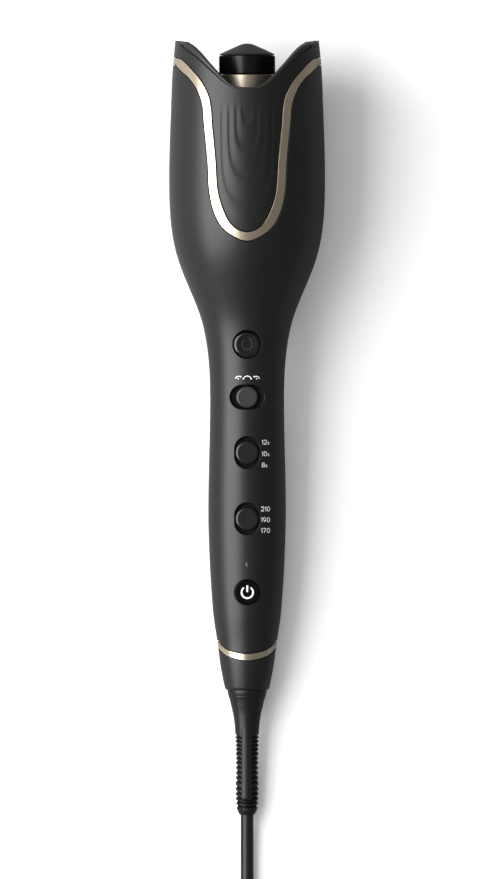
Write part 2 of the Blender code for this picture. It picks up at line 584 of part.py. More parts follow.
def tube(name, points, colour=(0.02, 0.02, 0.02)):
    cu = bpy.data.curves.new(name, 'CURVE')
    cu.dimensions = '3D'
    sp = cu.splines.new('POLY')
    sp.points.add(len(points) - 1)
    for q, p in zip(sp.points, points):
        q.co = (p[0] * MM, p[1] * MM, p[2] * MM, 1)
    cu.bevel_depth = CORD_D / 2 * MM
    cu.bevel_resolution = 3
    cu.use_fill_caps = True
    cu.use_path = False
    return adopt(bpy.data.objects.new(name, cu), material(name, colour, 0.55), (0, 0, 0), parent=None)


exit_at = world(0, 0, RELIEF_END, SHIFT_Y)
away = Vector((0, -COS, -SIN))
start_ring = math.sqrt(solid_out ** 2 - (r_out - CORD_D / 2) ** 2) + 0.5   # where the coil's solid begins
lead_guides = [exit_at + away * GAP, exit_at + away * 12.0, Vector((0, exit_at.y - 27.0, CORD_LIE + 0.25)),
               Vector((0, exit_at.y - 40.0, CORD_LIE)), Vector((0, cy + start_ring, CORD_LIE))]
tube("cord_lead", spline(lead_guides, 2))

turned("cord_coil", [(solid_in + 2.2, coil_top), (solid_out - 2.2, coil_top), (solid_out, coil_top - 2.2), (solid_out, 2.2),
                     (solid_out - 2.0, 0.1), (solid_in + 2.0, 0.1), (solid_in, 2.2), (solid_in, coil_top - 2.2)], 36,
       material("cord_coil", (0.02, 0.02, 0.02), 0.55))
coil = bpy.data.objects["cord_coil"]
coil.parent = None
coil.location = (cx * MM, cy * MM, 0)

turn_r = 27.0
plug_mid = 0.1 + PLUG_SIZE[2] / 2
neck_y = cy + r_out - turn_r - 8.0
tail_guides = [Vector((cx - start_ring, cy + r_out, z_top_row + 0.1)), Vector((PLUG_X + turn_r, cy + r_out, z_top_row + 0.35))]
for a in (30, 60, 90):
    tail_guides.append(Vector((PLUG_X + turn_r - turn_r * math.sin(math.radians(a)),
                               cy + r_out - turn_r + turn_r * math.cos(math.radians(a)),
                               plug_mid + (z_top_row + 0.3 - plug_mid) * math.cos(math.radians(a)) ** 0.8)))
tail_guides.append(Vector((PLUG_X, neck_y, plug_mid)))
tube("cord_tail", spline(tail_guides, 2))

# plug: flat body with a tapered neck, two round pins
w, l, t = PLUG_SIZE
face_y = neck_y - GAP - PLUG_NECK - l
bm = bmesh.new()
sections = [(neck_y - GAP, 4.2, 4.2), (neck_y - GAP - PLUG_NECK, 6.0, 5.2), (neck_y - GAP - PLUG_NECK - 5, 12.5, 6.6),
            (neck_y - GAP - PLUG_NECK - 12, w / 2, t / 2), (face_y, w / 2, t / 2)]
loops = []
for y, hx, hz in sections:
    loops.append([bm.verts.new(((PLUG_X + hx * math.copysign(abs(math.cos(a)) ** 0.55, math.cos(a))) * MM, y * MM,
                                (plug_mid + hz * math.copysign(abs(math.sin(a)) ** 0.75, math.sin(a))) * MM))
                  for a in [2 * math.pi * (k + 0.5) / 20 for k in range(20)]])
for a, b in zip(loops, loops[1:]):
    bmesh.ops.bridge_loops(bm, edges=[bm.edges.new((q[i], q[(i + 1) % 20])) if bm.edges.get((q[i], q[(i + 1) % 20])) is None
                                      else bm.edges.get((q[i], q[(i + 1) % 20])) for q in (a, b) for i in range(20)])
bm.faces.new(loops[0])
bm.faces.new(loops[-1])
adopt(from_bmesh("plug_body", bm), material("plug_body", (0.02, 0.02, 0.02), 0.5), parent=None)
for side, name in ((-1, "plug_pin_left"), (1, "plug_pin_right")):
    r, length, spacing = PLUG_PIN
    pin = turned(name, [(0, -GAP), (r, -GAP), (r, -length + 1.0), (r - 0.9, -length), (0, -length)], 20,
                 material(name, (0.8, 0.8, 0.78), 0.2, 1.0), ring=False)
    pin.parent = None
    pin.rotation_euler = (-math.pi / 2, 0, 0)
    pin.location = ((PLUG_X + side * spacing / 2) * MM, face_y * MM, plug_mid * MM)

bpy.context.view_layer.update()
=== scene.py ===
"""Looks of the automatic hair curler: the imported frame, its detailed skin, materials, cord, stage and camera."""
import math

import bmesh
import bpy
import numpy as np
from mathutils import Matrix, Vector


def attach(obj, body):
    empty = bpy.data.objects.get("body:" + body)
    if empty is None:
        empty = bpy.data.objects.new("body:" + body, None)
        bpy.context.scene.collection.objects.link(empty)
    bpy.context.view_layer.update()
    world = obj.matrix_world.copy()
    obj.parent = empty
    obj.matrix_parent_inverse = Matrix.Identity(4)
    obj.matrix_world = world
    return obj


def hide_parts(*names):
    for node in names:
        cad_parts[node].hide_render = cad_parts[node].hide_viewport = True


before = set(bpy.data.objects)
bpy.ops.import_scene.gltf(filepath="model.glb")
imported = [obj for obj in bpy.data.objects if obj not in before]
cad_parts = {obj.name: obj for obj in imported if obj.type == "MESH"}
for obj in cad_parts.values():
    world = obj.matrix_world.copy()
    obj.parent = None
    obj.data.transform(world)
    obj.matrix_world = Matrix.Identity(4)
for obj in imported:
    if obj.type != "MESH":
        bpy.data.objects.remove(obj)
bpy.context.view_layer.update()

MM = 0.001

# ---------------------------------------------------------------- the tool's own frame
# local x to the right, y = -(height over the axis), z = station along the axis
TILT = 0.10816987747430894
LIFT = 24.856324220993585
SHIFT = -5.761474370956421
SIN, COS = math.sin(TILT), math.cos(TILT)
TOOL = Matrix(((1, 0, 0, 0), (0, SIN, COS, SHIFT * MM), (0, -COS, SIN, LIFT * MM), (0, 0, 0, 1)))

BODY = [
    (-120.2, 10.4), (-117.8, 10.95), (-114.0, 11.75), (-106.3, 13.1), (-96.2, 14.4),
    (-86.6, 15.9), (-77.0, 16.8), (-67.4, 17.5), (-55.0, 18.1), (-38.6, 18.6),
    (-19.4, 18.45), (0.0, 18.0), (19.0, 17.75), (38.2, 18.5), (47.8, 19.75),
    (57.4, 21.9), (67.0, 25.4), (76.6, 29.45), (86.2, 33.05), (95.8, 35.45),
    (105.4, 36.75), (115.0, 37.3), (124.6, 37.45), (143.8, 37.1), (163.0, 36.4),
    (179.3, 35.65), (191.7, 34.4)]
TRIM_LOWER = [(0.0, 94.7), (7.2, 97.3), (12.8, 102.2), (16.3, 109.3), (18.4, 119.1),
              (19.2, 133.2), (20.9, 151.0), (21.6, 159.3), (22.9, 163.9), (25.1, 168.8),
              (28.4, 173.2), (31.2, 175.7), (33.9, 178.5), (35.3, 179.6), (46.0, 180.4)]
TRIM_UPPER = [(0.0, 99.3), (4.4, 100.5), (8.6, 104.4), (12.1, 112.1), (14.1, 120.5),
              (14.9, 133.2), (16.6, 151.0), (17.0, 157.2), (18.0, 163.2), (19.9, 168.0),
              (22.6, 172.4), (26.6, 177.2), (29.8, 180.7), (33.5, 182.9), (46.0, 184.2)]
RIM_OUTER = [(0.0, 168.9), (4.9, 169.2), (8.5, 170.5), (11.9, 172.7), (15.2, 175.7),
             (20.2, 180.4), (24.0, 184.0), (26.7, 186.2), (31.2, 189.4), (33.4, 191.3), (46.0, 191.6)]
RIM_INNER = [(0.0, 169.6), (4.9, 170.1), (8.5, 171.6), (11.9, 174.4), (14.6, 176.8),
             (20.1, 182.5), (24.0, 186.6), (27.6, 189.6), (30.0, 190.8), (32.0, 191.35), (46.0, 191.6)]
RING_UPPER = [(0.0, -102.6), (5.6, -101.9), (10.0, -100.4), (12.9, -98.0), (14.2, -96.5), (20.0, -96.2)]
RING_LOWER = [(0.0, -106.1), (5.6, -105.3), (10.0, -103.7), (12.9, -101.3), (14.2, -99.9), (20.0, -99.6)]

GAP = 0.3
WALL = 1.7
BOARD_TOP = 7.6
CURL_Z, CURL_R = 45.5, 6.35
POWER_Z, POWER_R = -73.2, 5.9
DIRECTION_Z, DIRECTION_R, DIRECTION_TRAVEL = 20.3, 5.1, 2.8
DIRECTION_POCKET, DIRECTION_FLOOR = (16.5, 11.7), 14.485
TIME_Z, TEMP_Z = -6.3, -38.0
STEP_R, STEP_TRAVEL, STEP_POCKET = 5.4, 2.0, (12.0, 15.5)
TIME_FLOOR, TEMP_FLOOR = 16.057, 16.545
LED_Z = -60.0
STEM_R = 1.1


def cubic(xs, ys):
    """Natural cubic spline through the stations, as a function of an array."""
    xs, ys = np.asarray(xs, float), np.asarray(ys, float)
    n, h = len(xs), np.diff(xs)
    a = np.zeros((n, n))
    b = np.zeros(n)
    a[0, 0] = a[-1, -1] = 1
    for i in range(1, n - 1):
        a[i, i - 1], a[i, i], a[i, i + 1] = h[i - 1], 2 * (h[i - 1] + h[i]), h[i]
        b[i] = 3 * ((ys[i + 1] - ys[i]) / h[i] - (ys[i] - ys[i - 1]) / h[i - 1])
    c = np.linalg.solve(a, b)
    d = np.diff(c) / (3 * h)
    s = np.diff(ys) / h - h * (2 * c[:-1] + c[1:]) / 3

    def f(x):
        x = np.asarray(x, float)
        i = np.clip(np.searchsorted(xs, x) - 1, 0, n - 2)
        t = x - xs[i]
        return ys[i] + s[i] * t + c[i] * t ** 2 + d[i] * t ** 3
    return f


radius = cubic(*zip(*BODY))


def slope(u):
    return (radius(u + 0.05) - radius(u - 0.05)) / 0.1


def catmull(points, per):
    p = [np.array(q, float) for q in points]
    p = [2 * p[0] - p[1]] + p + [2 * p[-1] - p[-2]]
    out = []
    for i in range(1, len(p) - 2):
        for t in np.arange(per) / per:
            out.append(0.5 * (2 * p[i] + (p[i + 1] - p[i - 1]) * t
                              + (2 * p[i - 1] - 5 * p[i] + 4 * p[i + 1] - p[i + 2]) * t * t
                              + (3 * p[i] - p[i - 1] - 3 * p[i + 1] + p[i + 2]) * t ** 3))
    out.append(p[-2])
    return np.array(out)


def half_curve(table, shift=0.0):
    """Dense (angle, station) points of an edge line from the front's middle to the side."""
    left = (-table[1][0], table[1][1])
    p = catmull([left] + list(table), 200)[200:]
    if shift:
        d = np.gradient(p, axis=0)
        n = np.stack([-d[:, 1], d[:, 0]], 1)
        n /= np.linalg.norm(n, axis=1)[:, None]
        p = p + n * shift
        p[0, 0] = 0.0
    q = p[:, 0] / radius(p[:, 1])
    k = int(np.argmax(q >= 1.0))
    f = (1.0 - q[k - 1]) / (q[k] - q[k - 1])
    end = p[k - 1] + (p[k] - p[k - 1]) * f
    th = np.arcsin(np.clip(np.append(q[:k], 1.0), -1, 1))
    return th, np.append(p[:k, 1], end[1])


def resample(th, u, s):
    """Values at fractions s of the line's length."""
    ds = np.hypot(np.diff(th) * radius(u[1:]), np.diff(u))
    l = np.append(0, np.cumsum(ds))
    return np.interp(s * l[-1], l, th), np.interp(s * l[-1], l, u)


def edge_at(table, shift=0.0):
    """Station of an edge line as a function of the angle from the front, all round."""
    th, u = half_curve(table, shift)

    def f(a):
        a = np.abs((np.asarray(a) + math.pi) % (2 * math.pi) - math.pi)
        a = np.where(a > math.pi / 2, math.pi - a, a)
        return np.interp(a, th, u)
    return f


def quarter_to_full(q):
    """Quarter columns (angle 0 to 90 degrees, with both ends) to all round, symmetric front and back."""
    a, b = q
    th = np.concatenate([a, (math.pi - a[::-1])[1:], (math.pi + a)[1:], (2 * math.pi - a[::-1])[1:-1]])
    u = np.concatenate([b, b[::-1][1:], b[1:], b[::-1][1:-1]])
    return th, u


def quarter_to_half(q, rear=False):
    a, b = q
    th = np.concatenate([-a[::-1], a[1:]])
    u = np.concatenate([b[::-1], b[1:]])
    return (th + math.pi if rear else th), u


def at(th, u, depth=0.0, relief=None):
    """Points on the tool's skin: angle from the front, station, depth below the skin (mm)."""
    th, u, depth = np.broadcast_arrays(np.asarray(th, float), np.asarray(u, float), np.asarray(depth, float))
    r = radius(u) - depth
    if relief is not None:
        r = r + relief(th, u)
    x, d = r * np.sin(th), r * np.cos(th)
    d = np.maximum(d, (0.01 - LIFT - u * SIN) / COS)        # rests flat on the surface
    return np.stack([x, -d, u], -1) * MM


def skin_normal(th, u, relief=None):
    e = 0.08
    a = at(th, u + e, relief=relief) - at(th, u - e, relief=relief)
    k = e / np.maximum(radius(u), 1)
    b = at(th + k, u, relief=relief) - at(th - k, u, relief=relief)
    n = np.cross(b, a)
    n /= np.linalg.norm(n, axis=-1)[..., None]
    out = np.stack([np.sin(th), -np.cos(th), 0 * th], -1)
    s = np.sign(np.sum(n * out, -1))
    return n * s[..., None]


# ---------------------------------------------------------------- pieces
RIDES = []                # pieces and the body that each rides on, settled at the end
collection = bpy.data.collections.new("looks")
bpy.context.scene.collection.children.link(collection)


def new_object(name, me, mat, body="housing", local=True):
    ob = bpy.data.objects.new(name, me)
    collection.objects.link(ob)
    if mat is not None:
        me.materials.append(mat)
    if local:
        ob.matrix_world = TOOL
    if body:
        RIDES.append((ob, body))
    return ob


def volume(v, f):
    v = np.asarray(v)
    t = 0.0
    for q in f:
        a = v[q[0]]
        for i in range(1, len(q) - 1):
            t += np.dot(a, np.cross(v[q[i]], v[q[i + 1]]))
    return t


def grid_faces(rows, cols, wrap_cols, wrap_rows=True):
    i = np.arange(rows if wrap_rows else rows - 1)
    j = np.arange(cols if wrap_cols else cols - 1)
    i, j = [q.ravel() for q in np.meshgrid(i, j, indexing="ij")]
    i1, j1 = (i + 1) % rows, (j + 1) % cols
    return np.stack([i * cols + j, i * cols + j1, i1 * cols + j1, i1 * cols + j], 1)


def grid_mesh(name, pts, normals=None, wrap_cols=True):
    """Closed solid from a grid whose rows run once round the section; end columns are capped if open."""
    rows, cols = pts.shape[:2]
    v = pts.reshape(-1, 3)
    f = grid_faces(rows, cols, wrap_cols)
    a, b, c, d = [v[f[:, k]] for k in range(4)]
    vol = np.sum(a * np.cross(b, c)) + np.sum(a * np.cross(c, d))
    f = f.tolist()
    if not wrap_cols:
        f.append([i * cols for i in range(rows)])
        f.append([i * cols + cols - 1 for i in reversed(range(rows))])
    if vol < 0:
        f = [q[::-1] for q in f]
    me = bpy.data.meshes.new(name)
    me.from_pydata(v.tolist(), [], f)
    me.update()
    me.polygons.foreach_set("use_smooth", [True] * len(me.polygons))
    if not wrap_cols:
        me.polygons[-1].use_smooth = me.polygons[-2].use_smooth = False
    if normals is not None:
        me.normals_split_custom_set_from_vertices([Vector(q) for q in normals.reshape(-1, 3)])
    return me


def blend_rows(a, b, n):
    """n rows strictly between two (angle, station) rows."""
    return [(a[0] + (b[0] - a[0]) * t, a[1] + (b[1] - a[1]) * t) for t in (np.arange(1, n + 1) / (n + 1))]


def shell_piece(name, low, high, mat, body, wall, rows, wrap, low_in=None, high_in=None, fillet=0.22, relief=None,
                inner_rows=14, seam=False, inner_depth=None):
    """A skin piece between a lower and an upper edge line, with rolled edges and an inner face.

    low and high are functions of the shift into the piece that give (angle, station) rows."""
    f = fillet
    rings = []                      # (angle, station, depth, normal mix)
    arc = [math.radians(q) for q in (90, 60, 30, 0)]
    lo_fil = [(low(f * (1 - math.sin(a))), f * (1 - math.cos(a)), a) for a in arc]
    hi_fil = [(high(f * (1 - math.sin(a))), f * (1 - math.cos(a)), a) for a in reversed(arc)]
    grid, nrm = [], []
    for (th, u), dep, a in lo_fil:
        grid.append(at(th, u, dep, relief))
        n = skin_normal(th, u, relief)
        th2, u2 = low(0.0)
        th3, u3 = low(0.4)
        out = at(th2, u2) - at(th3, u3)
        out /= np.linalg.norm(out, axis=-1)[:, None]
        m = n * math.cos(a) + out * math.sin(a)
        nrm.append(m / np.linalg.norm(m, axis=-1)[:, None])
    lo_row, hi_row = lo_fil[-1][0], hi_fil[0][0]
    for th, u in blend_rows(lo_row, hi_row, rows):
        grid.append(at(th, u, 0.0, relief))
        nrm.append(skin_normal(th, u, relief))
    for (th, u), dep, a in hi_fil:
        grid.append(at(th, u, dep, relief))
        n = skin_normal(th, u, relief)
        th2, u2 = high(0.0)
        th3, u3 = high(0.4)
        out = at(th2, u2) - at(th3, u3)
        out /= np.linalg.norm(out, axis=-1)[:, None]
        m = n * math.cos(a) + out * math.sin(a)
        nrm.append(m / np.linalg.norm(m, axis=-1)[:, None])
    # wall and inner face
    th0, u0 = low(0.0)
    th1, u1 = high(0.0)
    top_depth = wall if inner_depth is None else inner_depth
    inner = [(th1, u1, top_depth)]
    for th, u in blend_rows((th1, u1), (th0, u0), inner_rows):
        inner.append((th, u, wall))
    if inner_depth is not None:
        th2, u2 = high(3.0)
        inner = [(th1, u1, top_depth), (th2, u2, top_depth), (th2, u2 - 0.01, wall)] + [
            (a, b, wall) for a, b in blend_rows((th2, u2), (th0, u0), inner_rows)]
    inner.append((th0, u0, wall))
    for th, u, dep in inner:
        grid.append(at(th, u, dep))
        nrm.append(-skin_normal(th, u))
    pts, nn = np.array(grid), np.array(nrm)
    me = grid_mesh(name, pts, nn, wrap_cols=wrap)
    return new_object(name, me, mat, body)


def turned(name, profile, mat, body, steps=96, axis="z", origin=(0, 0, 0), sharp=35):
    """Turn a closed profile of (radius, height); axis z is the tool's, axis d stands on the front."""
    prof = [(r * MM, h * MM) for r, h in profile]
    me = bpy.data.meshes.new(name)
    verts, faces, ids = [], [], []
    for r, h in prof:
        if r < 1e-7:
            ids.append([len(verts)] * steps)
            verts.append((0.0, 0.0, h))
        else:
            ids.append(list(range(len(verts), len(verts) + steps)))
            verts += [(r * math.cos(2 * math.pi * k / steps), r * math.sin(2 * math.pi * k / steps), h) for k in range(steps)]
    closed = prof[0][0] > 1e-7 or prof[-1][0] > 1e-7
    n = len(prof)
    for i in range(n if closed else n - 1):
        a, b = ids[i], ids[(i + 1) % n]
        for k in range(steps):
            q = [a[k], a[(k + 1) % steps], b[(k + 1) % steps], b[k]]
            q = [x for j, x in enumerate(q) if x not in q[:j]]
            if len(q) > 2:
                faces.append(q)
    if volume(verts, faces[:]) < 0:
        faces = [q[::-1] for q in faces]
    if axis == "d":
        verts = [(x, -z, y) for x, y, z in verts]
    verts = [(x + origin[0] * MM, y - origin[1] * MM, z + origin[2] * MM) for x, y, z in verts]
    me.from_pydata(verts, [], faces)
    me.update()
    shade(me, sharp)
    return new_object(name, me, mat, body)


def shade(me, sharp=35):
    me.polygons.foreach_set("use_smooth", [True] * len(me.polygons))
    bm = bmesh.new()
    bm.from_mesh(me)
    lim = math.radians(sharp)
    for e in bm.edges:
        if len(e.link_faces) == 2 and e.calc_face_angle(0.0) > lim:
            e.smooth = False
    bm.to_mesh(me)
    bm.free()


def arc_profile(cx, cy, r, a0, a1, n):
    return [(cx + r * math.cos(math.radians(a0 + (a1 - a0) * k / n)), cy + r * math.sin(math.radians(a0 + (a1 - a0) * k / n)))
            for k in range(n + 1)]


def stadium_offset(w, h, grow, seg=16):
    """Slot outline in (x, station), grown by an amount."""
    r = min(w, h) / 2
    sx, sz = w / 2 - r, h / 2 - r
    pts = []
    for k in range(4 * seg):
        a = 2 * math.pi * (k + 0.5) / (4 * seg)
        c, s = math.cos(a), math.sin(a)
        pts.append(((r + grow) * c + math.copysign(sx, c), (r + grow) * s + math.copysign(sz, s)))
    return np.array(pts)


def circle_offset(r, grow, seg=72):
    a = 2 * math.pi * (np.arange(seg) + 0.5) / seg
    return np.stack([(r + grow) * np.cos(a), (r + grow) * np.sin(a)], 1)


def loft(name, rings):
    """Closed solid through rings of (x, depth d, station) points, capped at both ends."""
    n = len(rings[0])
    verts = np.concatenate(rings)
    verts = np.stack([verts[:, 0], -verts[:, 1], verts[:, 2]], 1) * MM
    f = grid_faces(len(rings), n, True, wrap_rows=False).tolist()
    f.append(list(range(n))[::-1])
    f.append([(len(rings) - 1) * n + k for k in range(n)])
    if volume(verts, f) < 0:
        f = [q[::-1] for q in f]
    me = bpy.data.meshes.new(name)
    me.from_pydata(verts.tolist(), [], f)
    me.update()
    return me


def surface_d(x, u):
    r = radius(u)
    return np.sqrt(np.maximum(r * r - np.asarray(x) ** 2, 1.0))


def hole_cutter(name, outline, z, fillet, floor):
    """Cutter whose mouth is rolled over to follow the skin; it ends at a flat floor."""
    rings = []
    for a in (4, 20, 40, 60, 80, 90):
        t = math.radians(a)
        o = outline(fillet * (1 - math.sin(t)))
        d = surface_d(o[:, 0], o[:, 1] + z) - fillet * (1 - math.cos(t))
        rings.append(np.stack([o[:, 0], d, o[:, 1] + z], 1))
    top = outline(fillet + 0.25)
    over = surface_d(top[:, 0], top[:, 1] + z)
    rings.insert(0, np.stack([top[:, 0], over + 0.5, top[:, 1] + z], 1))
    rings.insert(0, np.stack([top[:, 0], np.full(len(top), float(over.max()) + 3.0), top[:, 1] + z], 1))    # flat end, clear of the skin
    o = outline(0.0)
    rings.append(np.stack([o[:, 0], np.full(len(o), float(floor)), o[:, 1] + z], 1))
    return loft(name, rings)


def apply_cut(ob, cutters, analytic=True):
    """Cut solids out of a piece, then give the skin its exact normals again."""
    tools = []
    for me in cutters:
        c = bpy.data.objects.new(me.name, me)
        collection.objects.link(c)
        c.matrix_world = ob.matrix_world
        m = ob.modifiers.new(me.name, 'BOOLEAN')
        m.operation, m.solver, m.object = 'DIFFERENCE', 'EXACT', c
        tools.append(c)
    bpy.context.view_layer.update()
    dg = bpy.context.evaluated_depsgraph_get()
    me = bpy.data.meshes.new_from_object(ob.evaluated_get(dg), depsgraph=dg)
    ob.modifiers.clear()
    old = ob.data
    ob.data = me
    bpy.data.meshes.remove(old)
    for c in tools:
        bpy.data.objects.remove(c, do_unlink=True)
    if not analytic:
        shade(me, 35)
        return
    # exact normals on the skin, face normals elsewhere
    me.polygons.foreach_set("use_smooth", [True] * len(me.polygons))
    nv = len(me.vertices)
    co = np.empty(nv * 3)
    me.vertices.foreach_get("co", co)
    co = co.reshape(-1, 3) / MM
    th = np.arctan2(co[:, 0], -co[:, 1])
    rr = np.hypot(co[:, 0], co[:, 1])
    on = np.abs(rr - radius(co[:, 2])) < 0.03
    flat = co[:, 1] * -COS + co[:, 2] * SIN + LIFT < 0.03
    sn = skin_normal(th, co[:, 2])
    bm = bmesh.new()
    bm.from_mesh(me)
    bm.faces.ensure_lookup_table()
    bm.verts.ensure_lookup_table()
    fn = np.array([f.normal[:] for f in bm.faces])
    area = np.array([f.calc_area() for f in bm.faces])
    loops = np.empty((len(me.loops), 3))
    # smooth normal of the non-skin faces, split where faces meet at over 40 degrees
    skin_face = np.zeros(len(bm.faces), bool)
    for f in bm.faces:
        ids = [v.index for v in f.verts]
        if all(on[i] for i in ids):
            s = sn[ids].mean(0)
            if f.normal.dot(Vector(s)) > 0.86:
                skin_face[f.index] = True
    for p in me.polygons:
        f = bm.faces[p.index]
        for li, vi in zip(p.loop_indices, p.vertices):
            if skin_face[p.index] and not flat[vi]:
                loops[li] = sn[vi]
            else:
                n = np.zeros(3)
                for g in bm.verts[vi].link_faces:
                    if fn[g.index] @ fn[p.index] > 0.72:
                        n += (sn[vi] * area[g.index] if skin_face[g.index] else fn[g.index] * area[g.index])
                k = np.linalg.norm(n)
                loops[li] = n / k if k > 1e-12 else fn[p.index]
    bm.free()
    me.normals_split_custom_set([Vector(q) for q in loops])


# ---------------------------------------------------------------- materials
def node(nt, kind, **values):
    n = nt.nodes.new(kind)
    for k, v in values.items():
        if k in n.inputs:
            n.inputs[k].default_value = v
        else:
            setattr(n, k, v)
    return n


def finish_mat(name, dark, light, rough, metallic=0.0, grain=900.0, grain_bump=0.05, cloud=28.0, spec=0.5,
               coat=0.0, coat_rough=0.1, stretch=(1, 1, 1), fine=None, wear=None, transmission=0.0, bump_distance=0.00005):
    """Moulded or metal finish: cloudy colour variation, fine grain in colour, roughness and relief, edge wear."""
    m = bpy.data.materials.new(name)
    m.use_nodes = True
    nt = m.node_tree
    b = nt.nodes["Principled BSDF"]
    tc = node(nt, "ShaderNodeTexCoord")
    along = node(nt, "ShaderNodeMapping")              # turns the coordinates to the tool's axis
    along.inputs["Rotation"].default_value = (math.pi / 2 - TILT, 0, 0)
    nt.links.new(tc.outputs["Object"], along.inputs["Vector"])
    mp = node(nt, "ShaderNodeMapping")
    mp.inputs["Scale"].default_value = stretch
    nt.links.new(along.outputs[0], mp.inputs["Vector"])
    big = node(nt, "ShaderNodeTexNoise", Scale=cloud, Detail=4.0, Roughness=0.6)
    small = node(nt, "ShaderNodeTexNoise", Scale=grain, Detail=3.0, Roughness=0.7)
    nt.links.new(mp.outputs[0], big.inputs["Vector"])
    nt.links.new(mp.outputs[0], small.inputs["Vector"])
    mixf = node(nt, "ShaderNodeMath", operation='MULTIPLY_ADD')
    mixf.inputs[1].default_value = 0.45
    nt.links.new(small.outputs["Fac"], mixf.inputs[0])
    half = node(nt, "ShaderNodeMath", operation='MULTIPLY')
    half.inputs[1].default_value = 0.55
    nt.links.new(big.outputs["Fac"], half.inputs[0])
    nt.links.new(half.outputs[0], mixf.inputs[2])
    ramp = node(nt, "ShaderNodeValToRGB")
    ramp.color_ramp.elements[0].position = 0.32
    ramp.color_ramp.elements[1].position = 0.68
    ramp.color_ramp.elements[0].color = (*dark, 1)
    ramp.color_ramp.elements[1].color = (*light, 1)
    nt.links.new(mixf.outputs[0], ramp.inputs["Fac"])
    colour = ramp.outputs[0]
    if wear:
        geo = node(nt, "ShaderNodeNewGeometry")
        wr = node(nt, "ShaderNodeMapRange")
        wr.inputs["From Min"].default_value = 0.56
        wr.inputs["From Max"].default_value = 0.66
        nt.links.new(geo.outputs["Pointiness"], wr.inputs["Value"])
        wm = node(nt, "ShaderNodeMix", data_type='RGBA')
        nt.links.new(wr.outputs[0], wm.inputs["Factor"])
        nt.links.new(colour, wm.inputs["A"])
        wm.inputs["B"].default_value = (*wear, 1)
        for s in wm.inputs:
            if s.type == 'RGBA' and s.name == "A" and not s.is_linked:
                nt.links.new(colour, s)
            if s.type == 'RGBA' and s.name == "B":
                s.default_value = (*wear, 1)
        colour = [s for s in wm.outputs if s.type == 'RGBA'][0]
    nt.links.new(colour, b.inputs["Base Color"])
    rr = node(nt, "ShaderNodeMapRange")
    rr.inputs["From Min"].default_value = 0.3
    rr.inputs["From Max"].default_value = 0.7
    rr.inputs["To Min"].default_value = rough[0]
    rr.inputs["To Max"].default_value = rough[1]
    nt.links.new(mixf.outputs[0], rr.inputs["Value"])
    nt.links.new(rr.outputs[0], b.inputs["Roughness"])
    bump = node(nt, "ShaderNodeBump", Strength=grain_bump, Distance=bump_distance)
    if fine == "brushed":
        wave = node(nt, "ShaderNodeTexNoise", Scale=1.0, Detail=5.0, Roughness=0.8)
        bm_map = node(nt, "ShaderNodeMapping")
        bm_map.inputs["Scale"].default_value = (90, 90, 2600)
        nt.links.new(along.outputs[0], bm_map.inputs["Vector"])
        nt.links.new(bm_map.outputs[0], wave.inputs["Vector"])
        nt.links.new(wave.outputs["Fac"], bump.inputs["Height"])
    else:
        nt.links.new(small.outputs["Fac"], bump.inputs["Height"])
    nt.links.new(bump.outputs[0], b.inputs["Normal"])
    b.inputs["Metallic"].default_value = metallic
    b.inputs["Specular IOR Level"].default_value = spec
    b.inputs["Coat Weight"].default_value = coat
    b.inputs["Coat Roughness"].default_value = coat_rough
    b.inputs["Transmission Weight"].default_value = transmission
    return m


def grey(v, tint=1.03):
    return (v, v, v * tint)


